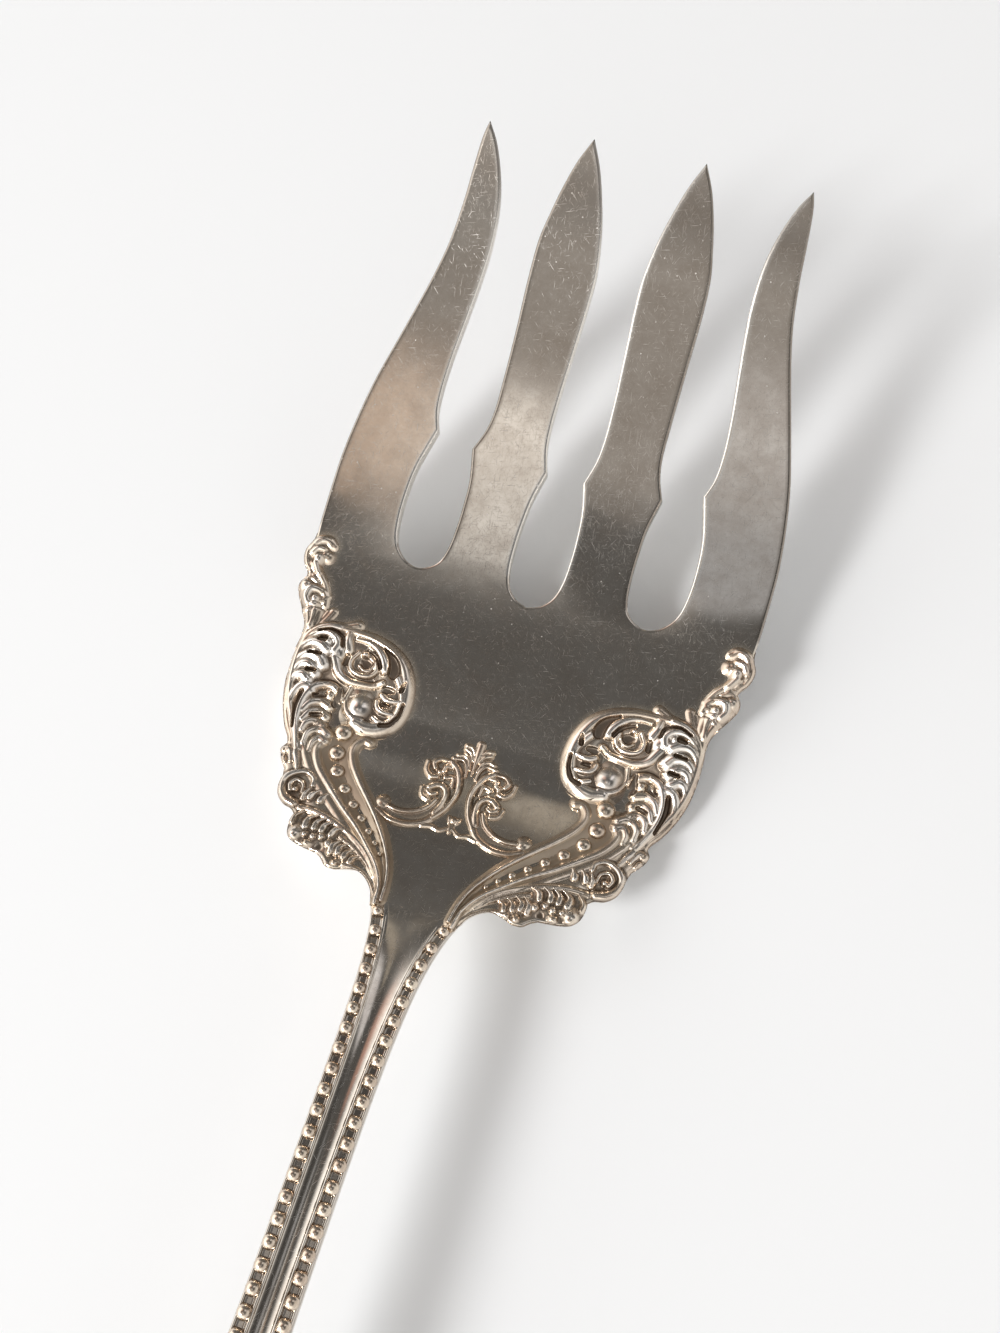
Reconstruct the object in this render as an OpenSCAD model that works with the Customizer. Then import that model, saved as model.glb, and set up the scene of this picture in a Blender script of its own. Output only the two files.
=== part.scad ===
// Serving fork for cold meat: four flat tines on a shallow bowl, cast leaf borders soldered along the
// edges of the bowl, and an arched handle with a row of beads down each side.
// It lies face up on Z = 0 on the heel of its bowl and the end of its handle, with the tips towards +Y.
// Each piece is drawn with the floor of the bowl level and the neck at Y = 0, and place() lays it down.

/* [Head] */
// Width across the roots of the outer tines
head_w = 57; // [50:0.5:64]
// Length of the bowl, from the neck to the bottom of the middle gap
bowl_len = 40; // [37:0.5:45]
// Length of the tines, from the bottom of the middle gap to the inner tips
tine_len = 52.5; // [46:0.5:58]
// Thickness of the bowl
plate_t = 1.8; // [1.4:0.1:2.4]
// Thickness of the tines at their tips
tip_t = 1.1; // [0.8:0.1:1.4]
// Width of the gaps at the roots of the tines
gap_w = 7; // [6:0.1:7.6]
// Lean of the outer gaps towards the axis, in degrees
gap_lean = 2.2; // [1.4:0.1:3]
// Length of the slope from the neck down to the floor of the bowl
heel_len = 22; // [19:0.5:25]
// Length of the flat floor of the bowl
floor_len = 11; // [8:0.5:13]
// Rise of the tine tips above the floor
tip_rise = 20; // [14:0.5:26]
// Rise of the neck above the floor
neck_rise = 10.5; // [8:0.5:13]
// Steepness of the slope at the neck, rise over run
neck_slope = 0.62; // [0.5:0.01:0.72]
// Pitch of the bowl's floor as the fork lies on its heel, in degrees
pitch = 10; // [8:0.5:12]

/* [Handle] */
// Length of the handle, from the neck to its end
handle_len = 132; // [118:1:146]
// Width at the neck
neck_w = 10; // [9:0.1:11.5]
// Width of the slim part of the handle
stem_w = 5.3; // [5:0.1:6.5]
// Width of the rounded end
end_w = 15; // [12:0.5:18]
// Thickness along the middle of the handle
stem_t = 3; // [2.7:0.1:3.6]
// Thickness along the edges of the handle
edge_t = 2; // [1.7:0.1:2.4]
// Height of the handle's crest above the floor of the bowl
crest_rise = 21; // [17:0.5:25]
// Distance of the crest from the neck
crest_at = 36; // [30:1:44]
// Distance from the neck at which the handle starts to widen
widen_at = 35; // [28:1:45]
// Length over which the neck draws in to the slim part
neck_fade = 5.5; // [4:0.1:7]
// Steepness of the handle at its end as it lies, rise over run
end_slope = 0.15; // [0.08:0.01:0.22]
// Length of the tang that joins the head to the handle
tang_len = 9; // [6:0.5:12]
// Width of the tang
tang_w = 3; // [2.4:0.1:3.4]
// Thickness of the tang
tang_t = 0.8; // [0.6:0.05:0.9]

/* [Rims and beads] */
// Width of the rim along the handle's edge
rim_w = 0.4; // [0.3:0.05:0.5]
// Height of the rim and of the inner ridge
rim_h = 0.25; // [0.15:0.05:0.4]
// Width of the inner ridge beside the middle panel
ridge_w = 0.5; // [0.4:0.05:0.6]
// Depth of the bead channel
channel_dip = 0.25; // [0.15:0.05:0.35]
// Depth of the hollow in the middle panel
panel_dip = 0.25; // [0.1:0.05:0.4]
// Diameter of a handle bead
bead_d = 1.05; // [0.9:0.05:1.1]
// Height of a bead, as a share of its diameter
bead_share = 0.55; // [0.45:0.01:0.65]
// Distance between handle beads
bead_pitch = 1.95; // [1.7:0.05:2.4]
// Distance of the first bead from the neck
bead_start = 2.8; // [2.2:0.1:3.6]
// Diameter of the largest bead in the bowl's border
grain_d = 1.8; // [1.5:0.05:1.9]
// Diameter of the smallest bead in the bowl's border
grain_min = 0.5; // [0.4:0.05:0.7]

/* [Leaf borders] */
// Thickness of the ground that carries the lobes
ground_t = 0.45; // [0.35:0.05:0.6]
// Height of the highest lobes above the bowl
relief = 1.25; // [1:0.05:1.6]
// Thickness of the solder under the soldered pieces
solder = 0.05; // [0.03:0.01:0.08]

/* [Hidden] */

silver = "#9a948d";
bright = "#b9b3ab";
dull = "#857d75";

// The outlines below are drawn at this size, and gx and gy stretch them to the head that is set above
drawn_w = 57;
drawn_bowl = 40;
drawn_tine = 52.5;
drawn_gap = 7;
function gx(x) = x * head_w / drawn_w;
function gy(y) = y <= drawn_bowl ? y * bowl_len / drawn_bowl
    : bowl_len + (y - drawn_bowl) * tine_len / drawn_tine;
function at(p) = [gx(p.x), gy(p.y)];

head_len = bowl_len + tine_len;
floor_end = heel_len + floor_len;
tine_run = head_len - floor_end;
tine_r = (tine_run * tine_run + tip_rise * tip_rise) / (2 * tip_rise);
neck_z = plate_t + neck_rise;
crest_z = plate_t + crest_rise;
sweep_w = 2 * head_w;

// Height of the upper face above the bowl's underside, at y from the neck
function blend(t, a, ma, b, mb, run) = (2 * t ^ 3 - 3 * t ^ 2 + 1) * a + (t ^ 3 - 2 * t ^ 2 + t) * ma * run
    + (3 * t ^ 2 - 2 * t ^ 3) * b + (t ^ 3 - t ^ 2) * mb * run;
function top(y) = y > floor_end ? plate_t + tine_r - sqrt(tine_r ^ 2 - (y - floor_end) ^ 2)
    : y > heel_len ? plate_t
    : y > 0 ? blend(y / heel_len, neck_z, -neck_slope, plate_t, 0, heel_len)
    : y > -crest_at ? blend(1 + y / crest_at, crest_z, -tan(pitch), neck_z, -neck_slope, crest_at)
    : blend((y + handle_len) / (handle_len - crest_at), end_z, end_slope - tan(pitch), crest_z,
        -tan(pitch), handle_len - crest_at);
function slope(y) = (top(y + 0.05) - top(y - 0.05)) / 0.1;
function sheet_t(y) = y < bowl_len ? plate_t : plate_t + (tip_t - plate_t) * (y - bowl_len) / tine_len;

// Stations along the head at which the curved faces bend
heel_n = 14;
tine_n = 12;
stations = concat([for (i = [0:heel_n]) heel_len * i / heel_n],
    [for (i = [0:tine_n]) floor_end + tine_run * i / tine_n]);
function flip(list) = [for (i = [len(list) - 1:-1:0]) list[i]];

// A point of the middle plane, turned by the pitch, and the heights of the heel and the end that touch down
function pitched(y, z) = [y * cos(pitch) - z * sin(pitch), y * sin(pitch) + z * cos(pitch)];
heel_low = min([for (y = stations) pitched(y, top(y) - sheet_t(y)).y]);
end_z = edge_t + (heel_low + handle_len * sin(pitch)) / cos(pitch);

// Smooth curve through points, for t from 0 to len(p) - 1
function curve(p, t) = let (n = len(p) - 1, i = min(n - 1, floor(t)), f = t - i,
        a = p[max(0, i - 1)], b = p[i], c = p[i + 1], d = p[min(n, i + 2)])
    0.5 * (2 * b + (c - a) * f + (2 * a - 5 * b + 4 * c - d) * f ^ 2 + (3 * b - a - 3 * c + d) * f ^ 3);
function curved(p, per) = [for (i = [0:(len(p) - 1) * per]) curve(p, i / per)];
function unit(v) = v / max(norm(v), 1e-6);

module along_x(outline) {
    rotate([90, 0, 90]) linear_extrude(sweep_w, center = true) polygon(outline);
}

// A layer that follows the upper face of the head, from one height above it to another
module layer(low, high) {
    along_x(concat([for (y = stations) [y, top(y) + low]], flip([for (y = stations) [y, top(y) + high]])));
}

module prism(points, per) {
    linear_extrude(4 * crest_z, center = true) polygon(curved([for (p = points) at(p)], per));
}

// Head plate

// Edge of the head from the neck to the tip of the outer tine
edge_points = [[6.2, 1.9], [8.6, 2.5], [11.2, 2.3], [13.6, 3.2], [16.3, 4.1], [17.3, 6.6], [19.6, 8.5],
    [20.6, 11], [21.8, 13.8], [23.2, 17.2], [24.8, 21], [25.4, 25.5], [25.5, 28.8], [26.5, 31.8],
    [27.5, 34.2], [27.6, 36.2], [28.2, 38.5], [28.2, 42], [28.5, 48], [28.2, 55], [27, 62], [24.5, 70.5],
    [22.2, 78], [21, 85.5], [20.4, 90.2], [19.7, 93]];
// Half width of a gap against the distance from its bottom, up to the nub and beyond it
gap_root = [[0, 0], [1.5, 0.4], [2.6, 1.4], [3.3, 3.4], [3.5, 6.5], [3.4, 10], [2.95, 13.5], [2.3, 16.8]];
gap_blade = [[2.3, 16.8], [3.05, 19.4], [3.3, 22.5], [3.25, 28], [2.95, 33.5], [2.72, 38.5], [2.9, 42],
    [3.5, 45], [4.5, 48], [5.7, 50.7], [6.9, 52.8], [9, 56]];
outer_gap = [15.35, 1.1];

module gap(run) {
    half = concat(curved(gap_root, 3), curved(gap_blade, 2));
    right = [for (p = half) [p.x * gap_w / drawn_gap, p.y * run / drawn_tine]];
    polygon(concat(right, [for (p = flip(right)) [-p.x, p.y]]));
}

module head_outline() {
    right = curved(concat([[neck_w / 2, 0]], [for (p = edge_points) at(p)]), 2);
    difference() {
        polygon(concat(right, [for (p = flip(right)) [-p.x, p.y]]));
        translate([0, bowl_len]) gap(tine_len);
        for (side = [-1, 1])
            translate([side * gx(outer_gap.x), bowl_len + outer_gap.y]) rotate(side * gap_lean)
                gap(tine_len - outer_gap.y);
    }
}

tang_n = 8;
tang_root = 1;
tang_dip = (plate_t - tang_t) / 2;
slice = 0.02;
module tang(grow) {
    run = tang_len + tang_root + grow;
    for (i = [0:tang_n - 1])
        hull() for (k = [i, i + 1]) {
            y = tang_root - run * k / tang_n;
            translate([0, y, top(y) - tang_dip - tang_t / 2])
                cube([tang_w + 2 * grow, slice, tang_t + 2 * grow], center = true);
        }
}

module head_plate() {
    color(silver) place() {
        intersection() {
            linear_extrude(4 * crest_z, center = true) head_outline();
            along_x(concat([for (y = stations) [y, top(y) - sheet_t(y)]],
                flip([for (y = stations) [y, top(y)]])));
        }
        tang(0);
    }
}

// Handle

end_r = end_w / 2;
round_at = handle_len - end_r;
function ease(t) = let (c = max(0, min(1, t))) c * c * (3 - 2 * c);
function half_w(d) = stem_w / 2 + (neck_w - stem_w) / 2 * exp(-d / neck_fade)
    + (end_w - stem_w) / 2 * ease((d - widen_at) / (round_at - widen_at));
// Point on the right edge of the handle, d from the neck along the axis, or at an angle round the end
function edge_at(d) = [half_w(d), -d];
function end_at(a) = [half_w(round_at) * cos(a), -round_at - end_r * sin(a)];
function edge_in(d) = let (t = edge_at(d + 0.1) - edge_at(max(0, d - 0.1))) unit([t.y, -t.x]);
function end_in(a) = let (t = [-half_w(round_at) * sin(a), -end_r * cos(a)]) unit([t.y, -t.x]);
// Share of the full relief, which fades out where the bowl runs into the handle
neck_flat = 2.5;
function fade(y) = ease(-y / neck_flat);

stem_n = 28;
turn_n = 6;
rail = concat([for (i = [0:stem_n]) let (d = round_at * (i / stem_n) ^ 1.3)
        [edge_at(d), d == 0 ? [-1, 0] : edge_in(d)]],
    [for (i = [1:turn_n]) [end_at(90 * i / turn_n), end_in(90 * i / turn_n)]]);
channel_w = bead_d + 0.1;
panel_edge = rim_w + channel_w + ridge_w;
spine_stop = 2 * panel_edge;
thin_over = 12;

// One cross-section of the right half of the handle, from the spine over the edge and back below it
function section(r) = let (
        p = r[0], n = r[1], y = p.y, f = fade(y), s = max(y, spine_stop - handle_len),
        spine_t = edge_t + (stem_t - edge_t) * min(1, (s + handle_len) / thin_over),
        steps = [[panel_edge, 0], [panel_edge - ridge_w / 2, rim_h * f],
            [rim_w + channel_w, -channel_dip * f], [rim_w, -channel_dip * f], [rim_w / 2, rim_h * f],
            [0, -edge_t * 0.35], [rim_w, -edge_t]])
    concat([[0, s, top(s) - panel_dip * f]],
        [for (k = steps) let (q = p + n * k[0]) [max(0, q.x), q.y, top(q.y) + k[1]]],
        [[0, s, top(s) - spine_t]]);

// The fork laid down on the table, with the middle of its length over the origin
tip_y = pitched(head_len, top(head_len) - tip_t).x;
end_y = min([for (p = section(rail[len(rail) - 1])) pitched(p.y, p.z).x]);
y_mid = -(tip_y + end_y) / 2;
module place() {
    translate([0, y_mid, -heel_low]) rotate([pitch, 0, 0]) children();
}

module half_stem() {
    rings = [for (r = rail) section(r)];
    m = len(rings[0]);
    last = len(rings) - 1;
    points = [for (ring = rings) for (p = ring) p];
    sides = [for (i = [0:last - 1]) for (k = [0:m - 1]) let (a = i * m + k, b = i * m + (k + 1) % m)
        each [[a, b, b + m], [a, b + m, a + m]]];
    polyhedron(points, concat(sides, [[for (k = [m - 1:-1:0]) k], [for (k = [0:m - 1]) last * m + k]]));
}

module handle_stem() {
    color(silver) place() difference() {
        union() {
            half_stem();
            mirror([1, 0, 0]) half_stem();
        }
        tang(solder);
    }
}

// Beads

// Radius and height of a bead at its foot, its shoulder and its crown, as shares of its size
bead_form = [[1, 0], [0.88, 0.5], [0.5, 0.9]];
module dome(d) {
    h = d * bead_share;
    rotate_extrude($fn = 20)
        polygon(concat([[0, 0]], [for (f = bead_form) [f[0] * d / 2, f[1] * h]], [[0, h]]));
}

// The same bead with flat sides, for the long rows
module small_dome(d) {
    h = d * bead_share;
    hull() {
        cylinder(bead_form[1][1] * h, d / 2, bead_form[1][0] * d / 2, $fn = 6);
        cylinder(h, bead_form[2][0] * d / 2, 0, $fn = 6);
    }
}

// A bead that stands on the upper face at a point, lifted by a height
module seated(p, lift) {
    translate([p.x, p.y, top(p.y) + lift]) rotate([atan(slope(p.y)), 0, 0]) children();
}

module handle_beads() {
    mid = rim_w + channel_w / 2;
    count = floor((round_at - bead_start) / bead_pitch);
    turn = floor(90 * end_r * PI / 180 / bead_pitch);
    for (i = [0:count]) {
        d = bead_start + i * bead_pitch;
        p = edge_at(d) + edge_in(d) * mid;
        seated(p, solder - channel_dip * fade(p.y)) small_dome(bead_d);
    }
    for (i = [1:turn]) {
        a = 90 * (i + 0.25) / (turn + 0.75);
        seated(end_at(a) + end_in(a) * mid, solder - channel_dip) small_dome(bead_d);
    }
}

module left_handle_beads() {
    color(bright) place() mirror([1, 0, 0]) handle_beads();
}

module right_handle_beads() {
    color(bright) place() handle_beads();
}

// Leaf borders

// A ridge along a curve: half width w and height h, drawn out thin at its start and round at its end
module ridge(points, w, h, start = 0.45) {
    path = curved([for (p = points) at(p)], 2);
    last = len(path) - 1;
    rings = [for (i = [0:last]) let (
            t = i / last, side = unit(path[min(last, i + 1)] - path[max(0, i - 1)]),
            n = [-side.y, side.x], grow = start + (1 - start) * ease(t / 0.5),
            tail = t < 0.9 ? 1 : 0.6 + 4 * (1 - t), hw = w * grow * tail, hh = h * (0.6 + 0.4 * grow) * tail)
        [for (k = [[-1, -0.6], [-0.75, hh * 0.62], [0, hh], [0.75, hh * 0.62], [1, -0.6]])
            let (q = path[i] + n * hw * k[0]) [q.x, q.y, top(q.y) + k[1]]]];
    m = 5;
    points3 = [for (ring = rings) for (p = ring) p];
    sides = [for (i = [0:last - 1]) for (k = [0:m - 1]) let (a = i * m + k, b = i * m + (k + 1) % m)
        each [[a, b, b + m], [a, b + m, a + m]]];
    polyhedron(points3, concat(sides, [[for (k = [m - 1:-1:0]) k], [for (k = [0:m - 1]) last * m + k]]));
}

// A leaf lobe: a tail that swells along a short curve into a round head
module lobe(points, tail_r, head_r, h, facets = 6) {
    last = len(points) - 1;
    for (i = [0:last - 1])
        hull() for (k = [i, i + 1]) {
            p = at(points[k]);
            r = tail_r + (head_r - tail_r) * k / last;
            translate([p.x, p.y, top(p.y)]) scale([1, 1, h / head_r])
                sphere(r, $fn = facets);
        }
}

module ball(p, r, h) {
    q = at(p);
    translate([q.x, q.y, top(q.y)]) scale([1, 1, h / r]) sphere(r, $fn = 10);
}

// Lobes on a common ground that follows the bowl, open underneath where the bowl's face passes
module casting(outline, per) {
    difference() {
        union() {
            intersection() {
                prism(outline, per);
                layer(-ground_t, solder + ground_t);
            }
            children();
        }
        layer(-4 * crest_z, solder);
    }
}

leaf_outline = [[20.2, 14.6], [21.4, 15.4], [23.2, 17], [24.9, 20.6], [25.5, 24.5], [25.2, 28], [23.6, 29.9],
    [20.5, 30.6], [16.5, 30.7], [12.6, 29.5], [10.2, 26.5], [9.7, 23.5], [10.9, 20.6], [13.6, 19.3],
    [16.4, 20.2], [17.4, 18.5], [18, 16.6], [18.9, 14.8], [20.2, 14.6]];
volute_rim = [[22.8, 30], [19.5, 30.3], [16.4, 30.2], [13.2, 29.3], [11.1, 27.2], [10.5, 24.6], [10.8, 22.2],
    [12.3, 20.5], [14.3, 20.2], [15.8, 21]];
leaf_back = [[20.4, 14.8], [22.4, 17.2], [24.1, 20.2], [24.9, 23.6], [24.9, 26.6], [24.1, 28.8], [22.6, 30]];
inner_back = [[19.6, 14.9], [21, 16.8], [22, 19.2], [21.9, 21.2], [20.6, 22.5], [18.9, 22.2]];
volute_lobes = [[[18.6, 29.6], [16.2, 29.1], [14.8, 27.8]], [[13.4, 29], [12.5, 27.8], [12.8, 26.7]],
    [[11.3, 26.8], [11.6, 25.5], [13.1, 25]], [[11, 24.3], [11.8, 23.1], [13.4, 23.4]],
    [[11.2, 22], [12.4, 21.3], [13.6, 22]]];
eye_lobes = [[[18.6, 27.3], [17.2, 27.8], [16.1, 26.8]], [[16.1, 26.8], [16.4, 25.4], [17.8, 25.2]]];
outer_lobes = [[[25, 26.6], [23.2, 29.1], [21.2, 28.5]], [[25, 25.4], [23.8, 27.3], [22.2, 27.2]],
    [[25, 24], [23.6, 25.9], [22, 25.6]], [[24.8, 22.8], [23.6, 24.6], [22.3, 24.2]],
    [[24.3, 20.8], [23.6, 22.6], [22.5, 22.6]]];
inner_lobes = [[[22, 19.8], [21, 21], [19.6, 20.8]], [[21.5, 18.4], [20.7, 19.6], [19.4, 19.4]],
    [[20.9, 17], [20.4, 18.3], [19.3, 18]], [[20, 15.6], [19.7, 17], [18.6, 16.8]]];

// Place, radius and share of the relief of the balls in the eye of the leaf
leaf_balls = [[[15, 22.2], 1.4, 1], [[17.5, 26.4], 0.7, 0.8], [[20, 26.3], 0.9, 0.8]];

module scroll_leaf() {
    casting(leaf_outline, 2) {
        ridge(volute_rim, 0.85, relief, 0.6);
        ridge(leaf_back, 0.6, relief * 0.85);
        ridge(inner_back, 0.55, relief * 0.9);
        for (l = concat(volute_lobes, eye_lobes, outer_lobes, inner_lobes)) lobe(l, 0.3, 0.6, relief);
        for (b = leaf_balls) ball(b[0], b[1], relief * b[2]);
    }
}

shell_outline = [[7.6, 2.9], [9.4, 2.2], [11.2, 1.9], [12.6, 2.9], [15.2, 3.2], [16.9, 4.3], [17.3, 6.6],
    [19.3, 7.5], [20.5, 9.6], [20.9, 11.5], [22.2, 13.2], [22, 14.3], [20.4, 14.1], [18.6, 12.8],
    [15.6, 10.4], [12.4, 7.9], [9.6, 5.7], [7.6, 3.9], [7.6, 2.9]];
shell_lobes = [[[7.9, 3.7], [8.5, 3.3], [9, 2.8]], [[8.6, 4.3], [9.7, 3.9], [10.4, 2.8]],
    [[9.4, 4.9], [11, 4.5], [11.6, 3.2]], [[10.4, 5.9], [12.2, 5.4], [13, 4.1]],
    [[11.4, 6.6], [13.8, 6.2], [14.6, 4.4]], [[12.6, 7.4], [15.3, 6.6], [16, 4.9]],
    [[14, 8.5], [15.6, 8.4], [16.6, 7.3]], [[15, 9.4], [17, 9.6], [18.2, 8.6]],
    [[15.9, 10.2], [18.3, 11.1], [19.7, 9.4]], [[18.8, 12.5], [20.4, 13.4], [21.4, 13]]];

module edge_shell() {
    casting(shell_outline, 2) {
        for (l = shell_lobes) lobe(l, 0.3, 0.62, relief * 0.9);
        ball([18.4, 9.6], 0.55, relief * 0.9);
    }
}

tine_scroll_outline = [[25.7, 29.8], [26.8, 31.8], [27.8, 33.6], [27.7, 35.2], [27.6, 36.4], [28.5, 38],
    [28.5, 39.8], [27.4, 41], [25.9, 40.8], [25.2, 39.3], [25.9, 37.6], [25.3, 36.4], [24.2, 34.8],
    [23.9, 33], [24.4, 31.2], [25.7, 29.8]];
tine_scroll_lobes = [[[25.4, 30.6], [25.1, 32], [26.2, 32.8]], [[26.4, 31.8], [27.1, 33], [26.6, 33.6]],
    [[24.5, 32.4], [24.7, 34], [25.8, 34.4]], [[24.6, 34.6], [26, 35.2], [27.2, 34.6]],
    [[25.2, 36], [26.9, 37], [28, 38.2]], [[26.2, 37.4], [26.7, 38.4], [26, 39.2]],
    [[28, 38.6], [27.7, 40], [26.6, 40.3]]];

module tine_scroll() {
    casting(tine_scroll_outline, 2) for (l = tine_scroll_lobes) lobe(l, 0.3, 0.5, relief * 0.85);
}

inner_ridge = [[4.2, 1], [4.9, 3.6], [6.4, 6], [8.4, 8.3], [10.6, 10.6], [12.6, 12.7], [13.9, 14.7],
    [14.3, 16.4], [13.8, 17.7], [12.9, 17.6]];
outer_ridge = [[5, 1.2], [6, 3], [7.6, 4.6], [9.8, 6.5], [12.4, 8.4], [15, 10.4], [17.2, 12.5], [18.1, 14.4],
    [17.7, 16.2]];
band_w = 0.28;

module bead_channel() {
    casting(concat(inner_ridge, [[14.4, 19.2], [16.6, 19.5], [17.5, 17.8]], flip(outer_ridge),
        [inner_ridge[0]]), 2) {
        lobe(inner_ridge, band_w, 0.42, relief * 0.7);
        lobe(outer_ridge, band_w, 0.5, relief * 0.75);
    }
}

// Middle of the bead channel, from the leaf down to the neck
grain_line = [[16.1, 18], [15.9, 15.3], [14.9, 13], [13.2, 11.1], [11.5, 9.6], [9.9, 8.2], [8.4, 6.9], [7, 5.6],
    [5.9, 4.3]];

module channel_beads() {
    last = len(grain_line) - 1;
    for (i = [0:last]) {
        t = i / last;
        seated(at(grain_line[i]), 2 * solder + ground_t)
            dome(max(grain_min, (grain_d - grain_min) * (1 - t) ^ 1.2 + grain_min));
    }
}

// Leaf spray in the middle of the bowl

spray_outline = [[0, 9.4], [3, 9.6], [5.4, 9.1], [8, 9.4], [9.4, 10.8], [8.8, 11.8], [6.6, 11.1], [4.6, 11.7],
    [5.4, 13.6], [4.9, 15.3], [5.4, 17.4], [4.2, 18.4], [2.8, 19.2], [1.9, 20.9], [0.9, 22.1], [0, 22.3]];
spray_scrolls = [[[1, 17.2], [1.1, 14.2], [2.1, 11.4], [4.4, 9.9], [7, 9.8], [8.6, 10.6]],
    [[4.6, 11], [3, 12.4], [2.7, 14], [3.7, 14.8], [4.6, 14]],
    [[1.2, 15.6], [2, 17.4], [3.4, 17.8], [4.3, 17]], [[0.6, 18.2], [1.4, 19.4], [2.4, 19.2]],
    [[0.4, 19.6], [1, 20.6], [1.7, 20.5]], [[0.5, 10.4], [1.6, 9.9], [2.6, 10.1]]];

module half_spray() {
    for (s = spray_scrolls) lobe(s, 0.25, 0.42, relief * 0.7, 8);
    ball([8.4, 11.1], 0.6, relief * 0.7);
}

module leaf_spray() {
    color(bright) place() casting(concat(spray_outline, [for (p = flip(spray_outline)) [-p.x, p.y]]), 2) {
        half_spray();
        mirror([1, 0, 0]) half_spray();
        lobe([[0, 18.5], [0, 21.5]], 0.32, 0.6, relief * 0.75, 8);
        ball([0, 11.4], 0.4, relief * 0.6);
    }
}

module left_scroll_leaf() {
    color(bright) place() mirror([1, 0, 0]) scroll_leaf();
}

module right_scroll_leaf() {
    color(bright) place() scroll_leaf();
}

module left_edge_shell() {
    color(bright) place() mirror([1, 0, 0]) edge_shell();
}

module right_edge_shell() {
    color(bright) place() edge_shell();
}

module left_tine_scroll() {
    color(bright) place() mirror([1, 0, 0]) tine_scroll();
}

module right_tine_scroll() {
    color(bright) place() tine_scroll();
}

module left_bead_channel() {
    color(dull) place() mirror([1, 0, 0]) bead_channel();
}

module right_bead_channel() {
    color(dull) place() bead_channel();
}

module left_channel_beads() {
    color(bright) place() mirror([1, 0, 0]) channel_beads();
}

module right_channel_beads() {
    color(bright) place() channel_beads();
}

head_plate();
handle_stem();
left_scroll_leaf();
right_scroll_leaf();
left_edge_shell();
right_edge_shell();
left_tine_scroll();
right_tine_scroll();
left_bead_channel();
right_bead_channel();
left_channel_beads();
right_channel_beads();
leaf_spray();
left_handle_beads();
right_handle_beads();
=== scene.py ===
# Silver serving fork for cold meat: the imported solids, dressed with the struck and cast surfaces of the real one
import math
import bpy
import numpy as np
from mathutils import Matrix, Vector
from mathutils.geometry import delaunay_2d_cdt
from mathutils.kdtree import KDTree


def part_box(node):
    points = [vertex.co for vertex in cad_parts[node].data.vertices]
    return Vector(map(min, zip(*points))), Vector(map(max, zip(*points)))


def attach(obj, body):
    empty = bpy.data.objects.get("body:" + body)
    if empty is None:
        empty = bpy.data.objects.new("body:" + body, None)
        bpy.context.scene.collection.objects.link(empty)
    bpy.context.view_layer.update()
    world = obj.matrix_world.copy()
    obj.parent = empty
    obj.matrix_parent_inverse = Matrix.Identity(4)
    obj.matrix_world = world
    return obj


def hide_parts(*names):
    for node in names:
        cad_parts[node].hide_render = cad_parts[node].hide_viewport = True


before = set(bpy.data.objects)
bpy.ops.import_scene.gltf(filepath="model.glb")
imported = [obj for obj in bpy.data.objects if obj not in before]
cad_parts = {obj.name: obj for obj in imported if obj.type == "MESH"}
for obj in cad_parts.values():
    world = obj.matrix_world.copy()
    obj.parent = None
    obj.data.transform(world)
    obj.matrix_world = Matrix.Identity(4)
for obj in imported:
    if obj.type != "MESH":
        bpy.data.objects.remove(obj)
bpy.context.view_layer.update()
print("frame loaded:", len(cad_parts), "nodes")

# sizes are in mm with the neck at y = 0 and the floor of the bowl level, as in the part's source
fork = {
    "plateThick": 1.8, "tipThick": 1.1,  # sheet at the bowl and at the tips
    "bowlLen": 40.0, "headLen": 92.5, "heelLen": 22.0, "floorEnd": 33.0,
    "tipRise": 20.0, "neckRise": 10.5, "neckSlope": 0.62,
    "handleLen": 132.0, "crestRise": 21.0, "crestAt": 36.0, "endSlope": 0.15, "edgeThick": 2.0,
    "pitch": 10.0,  # degrees by which the bowl's floor climbs towards the tips, as the fork lies on its heel
    "dish": 0.5, "dishHalf": 28.0, "dishFrom": 4.0,  # rise of the outer tines over the bowl, and its reach
    "neckHalf": 5.0,
}
pitchSin, pitchCos = math.sin(math.radians(fork["pitch"])), math.cos(math.radians(fork["pitch"]))


def smooth(t):
    t = np.clip(t, 0, 1)
    return t * t * (3 - 2 * t)


def hermite(t, a, slopeA, b, slopeB, run):
    return ((2 * t ** 3 - 3 * t ** 2 + 1) * a + (t ** 3 - 2 * t ** 2 + t) * slopeA * run
            + (3 * t ** 2 - 2 * t ** 3) * b + (t ** 3 - t ** 2) * slopeB * run)


def headHeight(y):  # upper face along the axis, from the neck to the tips
    y = np.asarray(y, float)
    base = fork["plateThick"]
    run = fork["headLen"] - fork["floorEnd"]
    bend = (run ** 2 + fork["tipRise"] ** 2) / (2 * fork["tipRise"])
    tine = base + bend - np.sqrt(bend ** 2 - np.clip(y - fork["floorEnd"], 0, run + 2) ** 2)
    t = np.clip(y / fork["heelLen"], 0, 1)
    heel = hermite(t, base + fork["neckRise"], -fork["neckSlope"], base, 0, fork["heelLen"])
    return np.where(y > fork["floorEnd"], tine, heel)


heelRun = np.linspace(0, fork["floorEnd"], 400)
heelLow = float((heelRun * pitchSin + (headHeight(heelRun) - fork["plateThick"]) * pitchCos).min())
endZ = fork["edgeThick"] + (heelLow + fork["handleLen"] * pitchSin) / pitchCos  # where the handle's end touches down
tipY = fork["headLen"] * pitchCos - (float(headHeight(fork["headLen"])) - fork["tipThick"]) * pitchSin
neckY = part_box("head_plate")[1].y * 1000 - tipY  # where the neck lies in the shared frame


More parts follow.
